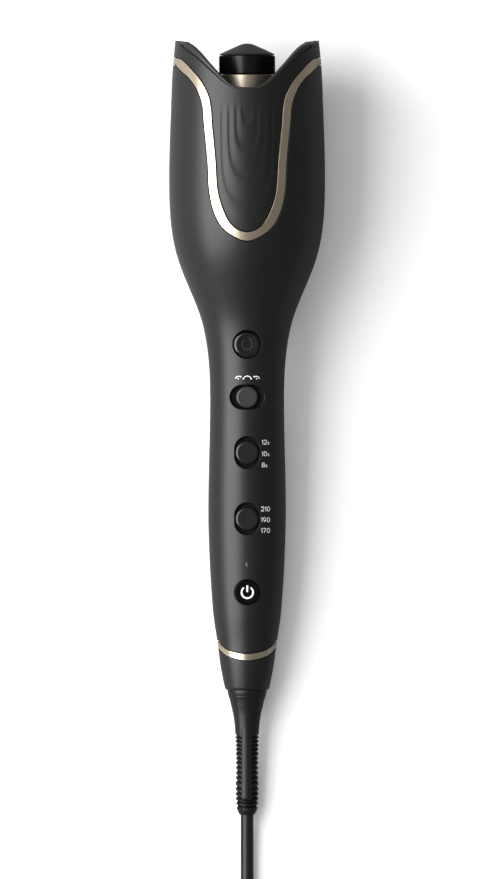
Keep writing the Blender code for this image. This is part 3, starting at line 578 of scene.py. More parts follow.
M = {
    "soft_touch_black": finish_mat("soft_touch_black", grey(0.0030), grey(0.0048), (0.38, 0.45), grain=2600, grain_bump=0.14, spec=0.46, wear=grey(0.009)),
    "satin_black": finish_mat("satin_black", grey(0.0030), grey(0.0048), (0.38, 0.45), grain=3000, grain_bump=0.12, spec=0.44, wear=grey(0.009)),
    # near-black, low-gloss finish, darker than the casing, used only in the pockets and rib grooves: painted shade in
    # these recesses
    "pocket_black": finish_mat("pocket_black", grey(0.0012), grey(0.002), (0.50, 0.60), grain=2600, grain_bump=0.1, spec=0.10),
    "liner_black": finish_mat("liner_black", grey(0.012), grey(0.018), (0.40, 0.48), grain=2400, grain_bump=0.12, spec=0.45),
    "champagne_metal": finish_mat("champagne_metal", (0.57, 0.475, 0.36), (0.65, 0.545, 0.415), (0.27, 0.35), 1.0, grain=1400, grain_bump=0.035, fine="brushed", stretch=(1, 1, 1)),
    "barrel_coating": finish_mat("barrel_coating", (0.50, 0.435, 0.34), (0.57, 0.50, 0.395), (0.36, 0.44), 1.0, grain=1600, grain_bump=0.05, fine="brushed"),
    "gloss_black": finish_mat("gloss_black", grey(0.0015), grey(0.0025), (0.26, 0.34), grain=800, grain_bump=0.03, spec=0.22, coat=0.08, coat_rough=0.12),
    "cone_grey": finish_mat("cone_grey", grey(0.0065), grey(0.011), (0.5, 0.6), grain=2600, grain_bump=0.25),
    "button_black": finish_mat("button_black", grey(0.0028), grey(0.0042), (0.18, 0.24), grain=2600, grain_bump=0.08, spec=0.46),
    "power_black": finish_mat("power_black", grey(0.0010), grey(0.0017), (0.22, 0.28), grain=2600, grain_bump=0.05, spec=0.12),
    "slider_grey": finish_mat("slider_grey", grey(0.021), grey(0.027), (0.28, 0.35), grain=2800, grain_bump=0.12, spec=0.36),
    "slider_dark": finish_mat("slider_dark", grey(0.0060), grey(0.0085), (0.20, 0.26), grain=2800, grain_bump=0.08, spec=0.46),
    "rubber_black": finish_mat("rubber_black", grey(0.0040), grey(0.0065), (0.32, 0.42), grain=1900, grain_bump=0.2, spec=0.30),
    "cord_black": finish_mat("cord_black", grey(0.005), grey(0.008), (0.34, 0.42), grain=1500, grain_bump=0.2, spec=0.32),
    "plug_black": finish_mat("plug_black", grey(0.010), grey(0.015), (0.38, 0.46), grain=1900, grain_bump=0.25, wear=grey(0.03)),
    "nickel": finish_mat("nickel", (0.62, 0.60, 0.56), (0.74, 0.72, 0.68), (0.16, 0.24), 1.0, grain=1500, grain_bump=0.08, fine="brushed"),
    "steel": finish_mat("steel", (0.45, 0.45, 0.45), (0.58, 0.58, 0.58), (0.24, 0.34), 1.0, grain=1500, grain_bump=0.12),
    "brass_gear": finish_mat("brass_gear", (0.55, 0.42, 0.18), (0.68, 0.53, 0.26), (0.26, 0.36), 1.0, grain=1500, grain_bump=0.12),
    "gear_plastic": finish_mat("gear_plastic", (0.55, 0.52, 0.44), (0.64, 0.61, 0.53), (0.42, 0.52), grain=1500, grain_bump=0.15),
    "frame_plastic": finish_mat("frame_plastic", grey(0.045), grey(0.06), (0.45, 0.55), grain=1500, grain_bump=0.2),
    "ceramic": finish_mat("ceramic", (0.62, 0.61, 0.57), (0.72, 0.71, 0.67), (0.55, 0.68), grain=1800, grain_bump=0.2),
    "board_green": finish_mat("board_green", (0.012, 0.075, 0.03), (0.02, 0.11, 0.045), (0.30, 0.42), grain=1200, grain_bump=0.15),
    "switch_black": finish_mat("switch_black", grey(0.018), grey(0.026), (0.40, 0.50), grain=1800, grain_bump=0.15),
    "lamp_clear": finish_mat("lamp_clear", grey(0.035), grey(0.055), (0.20, 0.30), grain=1800, grain_bump=0.1),
    "print_white": finish_mat("print_white", grey(0.80, 1.0), grey(0.90, 1.0), (0.45, 0.55), grain=3000, grain_bump=0.1),
}

# ---------------------------------------------------------------- mains cord (first, with the camera)
CORD_D = 6.1
coil_c = (43.2, -266.0)
RING = [43.2, 37.0, 30.8, 24.6]      # radii of the turns
exit_w = np.array([0.0, SHIFT - 180.2 * COS, LIFT - 180.2 * SIN])
away = np.array([0.0, -COS, -SIN])

lead = catmull([exit_w, exit_w + away * 12.0, (0, exit_w[1] - 27.0, 3.45), (0, exit_w[1] - 40.0, 3.2),
                (0, exit_w[1] - 60.0, 3.2), (0, coil_c[1], 3.2)], 6)
moves = [(160, 360, RING[0], RING[1]), (520, 720, RING[1], RING[2]), (880, 1080, RING[2], RING[3]),
         (1280, 1480, RING[3], RING[2]), (1640, 1840, RING[2], RING[1]), (2000, 2200, RING[1], RING[0])]
END = 2430.0
turns = []
for k in range(1, int(END / 5) + 1):
    s = k * 5.0
    r = RING[0]
    for s0, s1, ra, rb in moves:
        if s >= s0:
            t = min(1.0, (s - s0) / (s1 - s0))
            r = ra + (rb - ra) * (1 - math.cos(math.pi * t)) / 2
    t = min(1.0, max(0.0, (s - 1120) / 120.0))
    z = 3.2 + 6.2 * (1 - math.cos(math.pi * t)) / 2
    a = math.radians(180.0 + s)
    turns.append((coil_c[0] + r * math.cos(a), coil_c[1] + r * math.sin(a), z))
plug_x, plug_z, turn_r = -21.6, 0.1 + 13.7 / 2, 27.0
arc_y = coil_c[1] + RING[0] - turn_r
tail = [(33.0, coil_c[1] + RING[0], 9.43), (23.0, coil_c[1] + RING[0], 9.52), (13.0, coil_c[1] + RING[0], 9.66)]
for a in range(0, 91, 6):
    t = math.radians(a)
    tail.append((plug_x + turn_r - turn_r * math.sin(t), arc_y + turn_r * math.cos(t),
                 plug_z + (9.7 - plug_z) * math.cos(t) ** 0.8 if a < 90 else plug_z))
tail.append((plug_x, arc_y - 4.0, plug_z))
tail.append((plug_x, arc_y - 8.0, plug_z))
path = np.concatenate([lead, np.array(turns), np.array(tail)])

cu = bpy.data.curves.new("mains_cord", 'CURVE')
cu.dimensions = '3D'
sp = cu.splines.new('POLY')
sp.points.add(len(path) - 1)
for q, p in zip(sp.points, path):
    q.co = (p[0] * MM, p[1] * MM, p[2] * MM, 1)
cu.bevel_depth = CORD_D / 2 * MM
cu.bevel_resolution = 6
cu.use_fill_caps = True
cu.use_path = False
cord = bpy.data.objects.new("mains_cord", cu)
collection.objects.link(cord)
cu.materials.append(M["cord_black"])
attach(cord, "housing")
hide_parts("cord_lead", "cord_coil", "cord_tail")

# plug: rounded flat body with a ribbed neck and two round pins
neck_y = arc_y - 8.0 - 0.3
sections = [(0, 3.9, 3.9, 2.0), (0.6, 4.3, 4.3, 2.0)]
for k in range(5):
    b = 1.6 + 2.9 * k
    w0 = 4.35 + 0.30 * k
    sections += [(b, w0 + 0.15, w0 * 0.97 + 0.1, 2.1), (b + 0.5, w0 + 0.45, w0 * 0.97 + 0.4, 2.1), (b + 1.5, w0 + 0.5, w0 * 0.97 + 0.42, 2.1),
                 (b + 1.8, w0 - 0.25, w0 * 0.97 - 0.3, 2.1), (b + 2.4, w0 - 0.2, w0 * 0.97 - 0.28, 2.1)]
sections += [(17.0, 6.3, 5.45, 2.2), (19.0, 8.6, 6.0, 2.4), (22.0, 12.2, 6.45, 2.7), (25.5, 15.3, 6.7, 3.0), (29.5, 17.2, 6.82, 3.4),
             (34.0, 17.6, 6.85, 3.6), (38.0, 17.45, 6.83, 3.6), (42.0, 16.9, 6.8, 3.6), (45.5, 16.6, 6.78, 3.6), (49.5, 16.55, 6.75, 3.6),
             (50.3, 16.3, 6.5, 3.6), (50.85, 15.8, 6.0, 3.6), (51.0, 15.1, 5.3, 3.6)]
rings = []
for y, hx, hz, e in sections:
    a = 2 * math.pi * (np.arange(64) + 0.5) / 64
    c, s = np.cos(a), np.sin(a)
    rings.append(np.stack([plug_x + hx * np.sign(c) * np.abs(c) ** (2 / e), np.full(64, neck_y - y),
                           plug_z + hz * np.sign(s) * np.abs(s) ** (2 / e)], 1))
v = np.concatenate(rings) * MM
f = grid_faces(len(rings), 64, True, wrap_rows=False).tolist()
f.append(list(range(64))[::-1])
f.append([(len(rings) - 1) * 64 + k for k in range(64)])
if volume(v, f) < 0:
    f = [q[::-1] for q in f]
me = bpy.data.meshes.new("power_plug")
me.from_pydata(v.tolist(), [], f)
me.update()
shade(me, 50)
plug = new_object("power_plug", me, M["plug_black"], "housing", local=False)
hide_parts("plug_body")
for side, name in ((-1, "plug_pin_left"), (1, "plug_pin_right")):
    prof = [(0, 0.3), (2.35, 0.3)] if False else []
    prof = [(0, 0.1), (2.0, 0.1), (2.0, 9.0), (1.9, 9.15), (1.9, 17.6)] + arc_profile(0.6, 17.6, 1.3, 0, 90, 6)[1:] + [(0, 18.9)]
    ob = turned("prong_" + ("a" if side < 0 else "b"), prof, M["nickel"], None, steps=40)
    ob.matrix_world = Matrix.Translation(((plug_x + side * 9.3) * MM, (neck_y - 51.0) * MM, plug_z * MM)) @ Matrix.Rotation(math.radians(90), 4, 'X')
    RIDES.append((ob, "housing"))
    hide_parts(name)

# ---------------------------------------------------------------- camera, floor, lights
cam_data = bpy.data.cameras.new("view")
cam = bpy.data.objects.new("view", cam_data)
bpy.context.scene.collection.objects.link(cam)
cam_data.lens = 682.6
cam_data.sensor_width = 36.0
cam_data.clip_start, cam_data.clip_end = 0.05, 30.0
eye = TOOL @ Vector((1.4 * MM, -8.0, 0.0))
m = TOOL.to_3x3()
view_axes = Matrix((m @ Vector((1, 0, 0)), m @ Vector((0, 0, 1)), m @ Vector((0, -1, 0)))).transposed()
cam.matrix_world = Matrix.Translation(eye) @ view_axes.to_4x4()
bpy.context.scene.camera = cam

bm = bmesh.new()
bmesh.ops.create_grid(bm, x_segments=8, y_segments=8, size=3.0, matrix=Matrix.Translation((0, 0, -0.0002)))
me = bpy.data.meshes.new("studio_floor")
bm.to_mesh(me)
bm.free()
floor = bpy.data.objects.new("studio_floor", me)
bpy.context.scene.collection.objects.link(floor)
fm = finish_mat("floor_white", grey(0.86, 1.0), grey(0.88, 1.0), (0.75, 0.85), grain=60, grain_bump=0.0, spec=0.2)
nt = fm.node_tree
# The camera sees an even white floor. Every other ray sees a darker diffuse, painted lighter on the left and darker on
# the right: painted light and shade in what the tool reflects and takes as bounce from the floor.
lp = node(nt, "ShaderNodeLightPath")
low = node(nt, "ShaderNodeBsdfDiffuse")
where = node(nt, "ShaderNodeNewGeometry")
split = node(nt, "ShaderNodeSeparateXYZ")
nt.links.new(where.outputs["Position"], split.inputs[0])
# painted shade of the floor's bounce, 0.42 on the lit left falling to 0.20 on the shadowed right
side = node(nt, "ShaderNodeMapRange")
side.inputs["From Min"].default_value = -0.05
side.inputs["From Max"].default_value = 0.05
side.inputs["To Min"].default_value = 0.42
side.inputs["To Max"].default_value = 0.20
nt.links.new(split.outputs["X"], side.inputs["Value"])
nt.links.new(side.outputs[0], low.inputs["Color"])
# faint glow on the floor's camera-seen white: painted light that lifts the floor's shadows
nt.nodes["Principled BSDF"].inputs["Emission Color"].default_value = (1, 1, 1, 1)
nt.nodes["Principled BSDF"].inputs["Emission Strength"].default_value = 0.02
mixer = node(nt, "ShaderNodeMixShader")
nt.links.new(lp.outputs["Is Camera Ray"], mixer.inputs[0])
nt.links.new(low.outputs[0], mixer.inputs[1])
nt.links.new(nt.nodes["Principled BSDF"].outputs[0], mixer.inputs[2])
nt.links.new(mixer.outputs[0], nt.nodes["Material Output"].inputs[0])
me.materials.append(fm)

world = bpy.data.worlds.new("studio")
world.use_nodes = True
world.node_tree.nodes["Background"].inputs["Color"].default_value = (1, 1, 1, 1)
world.node_tree.nodes["Background"].inputs["Strength"].default_value = 0.24
bpy.context.scene.world = world
bpy.context.scene.view_settings.view_transform = 'Standard'


def area_light(name, direction, distance, size, energy, colour=(1, 1, 1), target=(0, 0, 0.03)):
    """Soft light: direction from the target (x to the right, y along the tool, z up)."""
    ld = bpy.data.lights.new(name, 'AREA')
    ld.shape = 'RECTANGLE'
    ld.size, ld.size_y = size
    ld.energy = energy
    ld.color = colour
    ob = bpy.data.objects.new(name, ld)
    bpy.context.scene.collection.objects.link(ob)
    d = Vector(direction).normalized()
    ob.location = Vector(target) + d * distance
    z = d
    y = Vector((0, 1, 0)) - z * z.y
    y.normalize()
    x = y.cross(z)
    ob.matrix_world = Matrix.Translation(ob.location) @ Matrix((x, y, z)).transposed().to_4x4()
    return ob


area_light("key_softbox", (-0.60, 0.03, 0.80), 2.2, (1.3, 2.6), 62.0)
area_light("left_strip", (-0.89, 0.02, 0.46), 2.2, (0.7, 2.6), 44.0)
overhead = area_light("overhead_fill", (0.04, 0.0, 1.0), 2.2, (2.0, 2.6), 21.0)
overhead.visible_glossy = False            # softens the shadow, without a reflection of its own

# ---------------------------------------------------------------- edge lines as matched columns
def edge_line(table, shift=0.0):
    """Dense (index along the table, angle, station) of an edge line, front middle to side."""
    left = (-table[1][0], table[1][1])
    per = 240
    p = catmull([left] + list(table), per)[per:]
    if shift:
        d = np.gradient(p, axis=0)
        n = np.stack([-d[:, 1], d[:, 0]], 1)
        n /= np.linalg.norm(n, axis=1)[:, None]
        p = p + n * shift
    q = p[:, 0] / radius(p[:, 1])
    q[0] = 0.0
    k = int(np.argmax(q >= 1.0))
    f = (1.0 - q[k - 1]) / (q[k] - q[k - 1])
    t = np.append(np.arange(k), k - 1 + f) / per
    return t / t[-1], np.arcsin(np.clip(np.append(q[:k], 1.0), 0, 1)), np.append(p[:k, 1], p[k - 1, 1] + (p[k, 1] - p[k - 1, 1]) * f)


QUARTER = 132
t0, th0, u0 = edge_line(TRIM_LOWER)
t1, th1, u1 = edge_line(TRIM_UPPER)
grid_t = np.linspace(0, 1, 6001)
a0, b0 = np.interp(grid_t, t0, th0), np.interp(grid_t, t0, u0)
a1, b1 = np.interp(grid_t, t1, th1), np.interp(grid_t, t1, u1)
mean_a, mean_b = (a0 + a1) / 2, (b0 + b1) / 2
run = np.append(0, np.cumsum(np.hypot(np.diff(mean_a) * radius(mean_b[1:]), np.diff(mean_b))))
COLUMNS = np.interp(np.linspace(0, 1, QUARTER + 1) * run[-1], run, grid_t)


def trim_columns(table, shift):
    t, th, u = edge_line(table, shift)
    return np.interp(COLUMNS, t, th), np.interp(COLUMNS, t, u)


def full(table, sign):
    return lambda s: quarter_to_full(trim_columns(table, sign * (GAP / 2 + s)))


SEAM = 0.13


def seam(row):
    th, u = row
    c = np.round(np.mean(th) / math.pi) * math.pi
    k = (math.pi / 2 - SEAM / radius(u)) / (math.pi / 2)
    return c + (th - c) * k, u




def lowered_front(f, by=1.6):
    """The mouth is cut a little lower in front than behind; the tips stay where they are."""
    def g(a):
        c = np.clip(np.cos(np.asarray(a, float)) / 0.40, 0, 1)
        return f(a) - by * c * c * (3 - 2 * c) * (0.75 + 0.25 * np.abs(np.sin(a)))
    return g


rim_out, rim_in = lowered_front(edge_at(RIM_OUTER)), lowered_front(edge_at(RIM_INNER))
ring_up, ring_low = edge_at(RING_UPPER), edge_at(RING_LOWER)


def ripple(th, u):
    """Soft nested waves on the petals."""
    r = radius(u)
    x = np.abs(r * np.sin(th))
    lo, hi = np.full(np.shape(x), 0.35), np.full(np.shape(x), 7.0)
    for _ in range(34):
        t = (lo + hi) / 2
        a = 3.35 * t - 1.6 + 0.2 / t
        b = 13.2 * t - 0.6
        q = (x / a) ** 2.2 + (np.maximum(166.0 - u, 0) / b) ** 6.0
        inside = q < 1
        hi, lo = np.where(inside, t, hi), np.where(inside, lo, t)
    t = (lo + hi) / 2
    ph = t - np.floor(t)
    k = np.floor(t)
    # crest just outside each line, falling steeply onto the line
    rise = np.where(ph < 0.32, (1 - np.cos(math.pi * ph / 0.32)) / 2, (1 + np.cos(math.pi * (ph - 0.32) / 0.68)) / 2)
    top = np.clip((163.0 - u) / 9.0, 0, 1)
    top = top * top * (3 - 2 * top)
    edge = np.clip((4.95 - t) / 0.5, 0, 1) * np.clip((t - 0.62) / 0.35, 0, 1)
    edge = edge * edge * (3 - 2 * edge)
    return 0.155 * rise * top * edge * (1 - 0.35 * np.clip(r * np.sin(th) * np.cos(th) / 3.0, 0, 1))


# ---------------------------------------------------------------- casing
def half_high(rear):
    return lambda s: seam(quarter_to_half(trim_columns(TRIM_LOWER, -(GAP / 2 + s)), rear))


def half_low(rear):
    def f(s):
        th, _ = quarter_to_half(trim_columns(TRIM_LOWER, -GAP / 2), rear)
        u = ring_up(th) + GAP / 2 + s * 1.15
        return seam((th, u))
    return f


front = shell_piece("front_casing", half_low(False), half_high(False), M["soft_touch_black"], "housing", WALL, 120, False)
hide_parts("front_shell")
rear = shell_piece("rear_casing", half_low(True), half_high(True), M["soft_touch_black"], "housing", WALL, 120, False)
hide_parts("rear_shell")


def crown_high(s):
    th, _ = quarter_to_full(trim_columns(TRIM_UPPER, GAP / 2))
    k = (rim_out(th + 0.004) - rim_out(th - 0.004)) / (0.008 * radius(rim_out(th)))
    return th, rim_out(th) - s * np.sqrt(1 + k * k)


crown = shell_piece("crown_petals", full(TRIM_UPPER, 1), crown_high, M["satin_black"], "housing", WALL, 118, True,
                    relief=ripple, fillet=0.3, inner_depth=0.85)
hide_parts("crown_sleeve")

TRIM_GAP = 0.14           # the trim stands this much further back from its neighbours than they do from it
trim = shell_piece("head_trim", lambda s: full(TRIM_LOWER, 1)(s + TRIM_GAP), lambda s: full(TRIM_UPPER, -1)(s + TRIM_GAP),
                   M["champagne_metal"], "housing", 1.2, 8, True, fillet=0.09,
                   inner_rows=3)
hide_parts("head_trim_ring")

# lining of the chamber, its lip standing a little over the petals
th, _ = quarter_to_full((np.linspace(0, math.pi / 2, 97), np.zeros(97)))
rim = rim_in(th)
k = (rim_in(th + 0.004) - rim_in(th - 0.004)) / (0.008 * radius(rim))
tilt = np.sqrt(1 + k * k)
LIP_OUT, LIP_IN, R1 = 1.15, 3.5, 0.75
rows = []
for q in np.linspace(0, 1, 30):
    rows.append((th, 98.0 + (rim - 4.0 - 98.0) * q, 2.0))
rows.append((th, rim - 3.3, LIP_OUT))
for q in (0.3, 0.7):
    rows.append((th, rim - 3.3 + 2.5 * q, LIP_OUT))
for a in range(0, 91, 15):
    t = math.radians(a)
    rows.append((th, rim - R1 * tilt * (1 - math.sin(t)), LIP_OUT + R1 * (1 - math.cos(t)) * 0.6))
for a in range(90, -1, -15):
    t = math.radians(a)
    rows.append((th, rim - 1.3 * tilt * (1 - math.sin(t)), LIP_IN - 1.3 * (1 - math.cos(t)) * 0.9))
rows.append((th, rim - 3.0, 3.45))
for q in np.linspace(0, 1, 26):
    rows.append((th, (rim - 5.5) + (100.0 - rim + 5.5) * q, 3.0))
hole = np.full(len(th), 14.0)
for q in (0.33, 0.66, 1.0):
    dd = 3.0 + (radius(100.0) - 14.0 - 3.0) * q
    rows.append((th, 100.0, dd))
for q in (0.0, 0.5):
    rows.append((th, 98.0, radius(98.0) - 14.0 - (radius(98.0) - 16.0) * q))
pts = np.array([at(np.asarray(a), np.broadcast_to(np.asarray(b, float), np.shape(th)), c) for a, b, c in rows])
me = grid_mesh("chamber_lining", pts, None, True)
shade(me, 40)
liner = new_object("chamber_lining", me, M["liner_black"], "housing")
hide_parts("chamber_liner")

# trim at the end of the handle and the end cap
th_ring = quarter_to_full((np.linspace(0, math.pi / 2, 57), np.zeros(57)))[0]
ring = shell_piece("lower_trim", lambda s: (th_ring, ring_low(th_ring) + GAP / 2 + (s + 0.08) * 1.15),
                   lambda s: (th_ring, ring_up(th_ring) - GAP / 2 - (s + 0.08) * 1.15), M["champagne_metal"], "housing", 1.3, 6, True,
                   fillet=0.09, inner_rows=2)
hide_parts("lower_trim_ring")

rows = []
top = ring_low(th_ring) - GAP / 2
for q in np.linspace(0, 1, 24):
    rows.append((-118.9 + (top - 0.2 + 118.9) * q, 0.0))
rows += [(top - 0.06, 0.06), (top, 0.2), (top, 1.0), (top, 1.8), (-112.0, 1.8), (-118.2, 1.8)]
rows += [(-118.2, float(radius(-118.2) - 7.1)), (-118.4, float(radius(-118.4) - 6.95)), (-120.0, float(radius(-120.0) - 6.95)),
         (-120.2, float(radius(-120.2) - 7.1)), (-120.2, 1.1), (-120.2, 0.75), (-120.05, 0.35), (-119.7, 0.12), (-119.3, 0.02)]
pts = np.array([at(th_ring, np.broadcast_to(np.asarray(b, float), np.shape(th_ring)), c) for b, c in rows])
me = grid_mesh("cord_end_cap", pts, None, True)
shade(me, 40)
cap = new_object("cord_end_cap", me, M["soft_touch_black"], "housing")
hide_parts("end_cap")

# openings in the front casing
cuts = [hole_cutter("cut_curl", lambda g: circle_offset(CURL_R + 0.55, g), CURL_Z, 0.35, 8.0),
        hole_cutter("cut_power", lambda g: circle_offset(POWER_R + 0.30, g), POWER_Z, 0.22, 8.0),
        hole_cutter("cut_led", lambda g: circle_offset(1.25, g, 32), LED_Z, 0.12, 8.0),
        hole_cutter("cut_direction", lambda g: stadium_offset(*DIRECTION_POCKET, g), DIRECTION_Z, 0.4, 8.0),
        hole_cutter("cut_time", lambda g: stadium_offset(*STEP_POCKET, g), TIME_Z, 0.4, 8.0),
        hole_cutter("cut_temperature", lambda g: stadium_offset(*STEP_POCKET, g), TEMP_Z, 0.4, 8.0)]
apply_cut(front, cuts)


def tub(name, z, size, floor_d, slot):
    """Walls and floor of a pocket, with the slot for the knob's stem."""
    rings = []
    n = 64
    def ring_at(grow, dfun):
        o = stadium_offset(*size, grow)
        return np.stack([o[:, 0], dfun(o[:, 0], o[:, 1] + z), o[:, 1] + z], 1)
    flat = lambda c: (lambda x, u: np.full(len(x), float(c)))
    low_rim = lambda x, u: np.maximum(surface_d(x, u) - 0.75, floor_d + 0.1)
    rings.append(ring_at(-2.0, flat(floor_d - 1.2)))
    rings.append(ring_at(1.1, flat(floor_d - 1.2)))
    rings.append(ring_at(1.1, lambda x, u: np.maximum(surface_d(x, u) - 1.0, floor_d - 1.0)))
    rings.append(ring_at(0.02, low_rim))
    rings.append(ring_at(-0.06, low_rim))
    rings.append(ring_at(-0.08, flat(floor_d + 0.3)))
    rings.append(ring_at(-0.17, flat(floor_d + 0.09)))
    rings.append(ring_at(-0.38, flat(floor_d)))
    rings.append(ring_at(-2.0, flat(floor_d)))
    me = loft(name, rings)
    # the pocket's walls and floor take the dark recess finish: painted shade inside the pocket
    ob = new_object(name, me, M["pocket_black"], "housing")
    o = stadium_offset(slot[0], slot[1], 0.0, 8)
    c = loft("slot", [np.stack([o[:, 0], np.full(len(o), float(h)), o[:, 1] + z], 1) for h in (floor_d - 3, floor_d + 2)])
    apply_cut(ob, [c], analytic=False)
    return ob


s0 = 2 * (STEM_R + 0.35)
tub("direction_pocket", DIRECTION_Z, DIRECTION_POCKET, DIRECTION_FLOOR, (2 * (DIRECTION_TRAVEL + STEM_R + 0.35), s0))
tub("time_pocket", TIME_Z, STEP_POCKET, TIME_FLOOR, (s0, 2 * (STEP_TRAVEL + STEM_R + 0.35)))
tub("temperature_pocket", TEMP_Z, STEP_POCKET, TEMP_FLOOR, (s0, 2 * (STEP_TRAVEL + STEM_R + 0.35)))


# ---------------------------------------------------------------- controls
def knob(name, z, r, top, floor_d, mat, body, cad):
    dish = 0.05
    prof = [(0, top - dish), (r * 0.35, top - dish * 0.86), (r * 0.62, top - dish * 0.5), (r * 0.8, top - dish * 0.16), (r - 0.8, top - 0.02),
            (r - 0.74, top - 0.04), (r - 0.2, top - 0.28), (r - 0.07, top - 0.4), (r, top - 0.6)]
    prof += [(r, floor_d + GAP + 0.2), (r - 0.15, floor_d + GAP), (STEM_R, floor_d + GAP), (STEM_R, BOARD_TOP + 5.4), (0, BOARD_TOP + 5.4)]
    ob = turned(name, prof, mat, body, 72, axis="d", origin=(0, 0, z), sharp=24)
    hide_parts(cad)
    return ob


knob("direction_knob_cap", DIRECTION_Z, DIRECTION_R, float(radius(DIRECTION_Z)) - 0.45, DIRECTION_FLOOR, M["slider_grey"], "direction_knob", "direction_slider")
knob("time_knob_cap", TIME_Z, STEP_R, float(radius(TIME_Z)) + 0.05, TIME_FLOOR, M["slider_dark"], "time_knob", "time_slider")
knob("temperature_knob_cap", TEMP_Z, STEP_R, float(radius(TEMP_Z)) + 0.05, TEMP_FLOOR, M["slider_dark"], "temperature_knob", "temperature_slider")


def press_cap(name, z, r, top, mat, body, cad, bevel, dish=0.12):
    under = top - 1.9
    prof = [(0, top - dish), (r * 0.45, top - dish * 0.8), (r * 0.75, top - dish * 0.3), (r - bevel - 0.1, top - 0.01)]
    if bevel > 0.5:
        prof = [(0, top - dish), (r * 0.45, top - dish * 0.8), (r * 0.72, top - dish * 0.3), (r - 1.1, top - 0.01), (r - 1.02, top - 0.03),
                (r - 0.28, top - 0.36), (r - 0.1, top - 0.5), (r - 0.02, top - 0.7)]
    else:
        prof += arc_profile(r - bevel, top - bevel, bevel, 90, 0, 7)[1:]
    prof += [(r, under), (1.9, under), (1.9, BOARD_TOP + 5.1), (0, BOARD_TOP + 5.1)]
    ob = turned(name, prof, mat, body, 96, axis="d", origin=(0, 0, z), sharp=24)
    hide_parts(cad)
    return ob


curl_top = float(radius(CURL_Z)) - 0.35
power_top = float(radius(POWER_Z)) - 0.1
press_cap("curl_key_cap", CURL_Z, CURL_R - 0.1, curl_top, M["button_black"], "curl_key", "curl_button", 0.75, 0.25)
press_cap("power_key_cap", POWER_Z, POWER_R, power_top, M["power_black"], "power_key", "power_button", 0.4)

lamp_top = float(radius(LED_Z)) + 0.05
lamp = turned("ready_lamp_lens", [(0, lamp_top), (0.6, lamp_top - 0.01), (0.95, lamp_top - 0.05), (1.1, lamp_top - 0.2), (1.1, BOARD_TOP + 1.5),
                                  (0, BOARD_TOP + 1.5)], M["lamp_clear"], "housing", 32, axis="d", origin=(0, 0, LED_Z), sharp=50)
for v in lamp.data.vertices:
    v.co.x *= 0.80
    v.co.z = LED_Z * MM + (v.co.z - LED_Z * MM) * 1.12
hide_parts("led_window")


# ---------------------------------------------------------------- printed marks
def ink(name, polys, depth_at, mat, body, proud=0.035, under=0.05):
    """Thin raised print from flat (x, station) polygons laid on a surface."""
    bm = bmesh.new()
    for poly in polys:
        vs = [bm.verts.new((x, z, 0)) for x, z in poly]
        bm.faces.new(vs)
    bmesh.ops.triangulate(bm, faces=bm.faces)
    return ink_mesh(name, bm, depth_at, mat, body, proud, under)


def ink_mesh(name, bm, depth_at, mat, body, proud=0.035, under=0.05):
    for v in bm.verts:
        v.co.z = 0
    geom = bmesh.ops.extrude_face_region(bm, geom=bm.faces[:])
    up = {g for g in geom["geom"] if isinstance(g, bmesh.types.BMVert)}
    for v in bm.verts:
        x, z = v.co.x, v.co.y
        d = float(depth_at(x, z)) + (proud if v in up else -under)
        v.co = Vector((x, -d, z)) * MM
    bmesh.ops.recalc_face_normals(bm, faces=bm.faces)
    me = bpy.data.meshes.new(name)
    bm.to_mesh(me)
    bm.free()
    ob = new_object(name, me, mat, body)
    return ob


def ribbon(points, width):
    """Quads along a stroke."""
    p = np.array(points, float)
    d = np.gradient(p, axis=0)
    n = np.stack([-d[:, 1], d[:, 0]], 1)
    n /= np.linalg.norm(n, axis=1)[:, None]
    w = np.broadcast_to(np.asarray(width, float), (len(p),))[:, None] / 2
    a, b = p + n * w, p - n * w
    return a, b


def strokes(name, lines, dots, depth_at, mat, body, **kw):
    bm = bmesh.new()
    for pts, width in lines:
        a, b = ribbon(pts, width)
        va = [bm.verts.new((x, z, 0)) for x, z in a]
        vb = [bm.verts.new((x, z, 0)) for x, z in b]
        for i in range(len(va) - 1):
            bm.faces.new((va[i], va[i + 1], vb[i + 1], vb[i]))
    for x, z, r in dots:
        vs = [bm.verts.new((x + r * math.cos(2 * math.pi * k / 16), z + r * math.sin(2 * math.pi * k / 16), 0)) for k in range(16)]
        bm.faces.new(vs)
    return ink_mesh(name, bm, depth_at, mat, body, **kw)


def arc_points(cx, cz, r, a0, a1, n=24):
    return [(cx + r * math.sin(math.radians(a)), cz + r * math.cos(math.radians(a))) for a in np.linspace(a0, a1, n)]


skin_d = lambda x, z: float(surface_d(x, z))


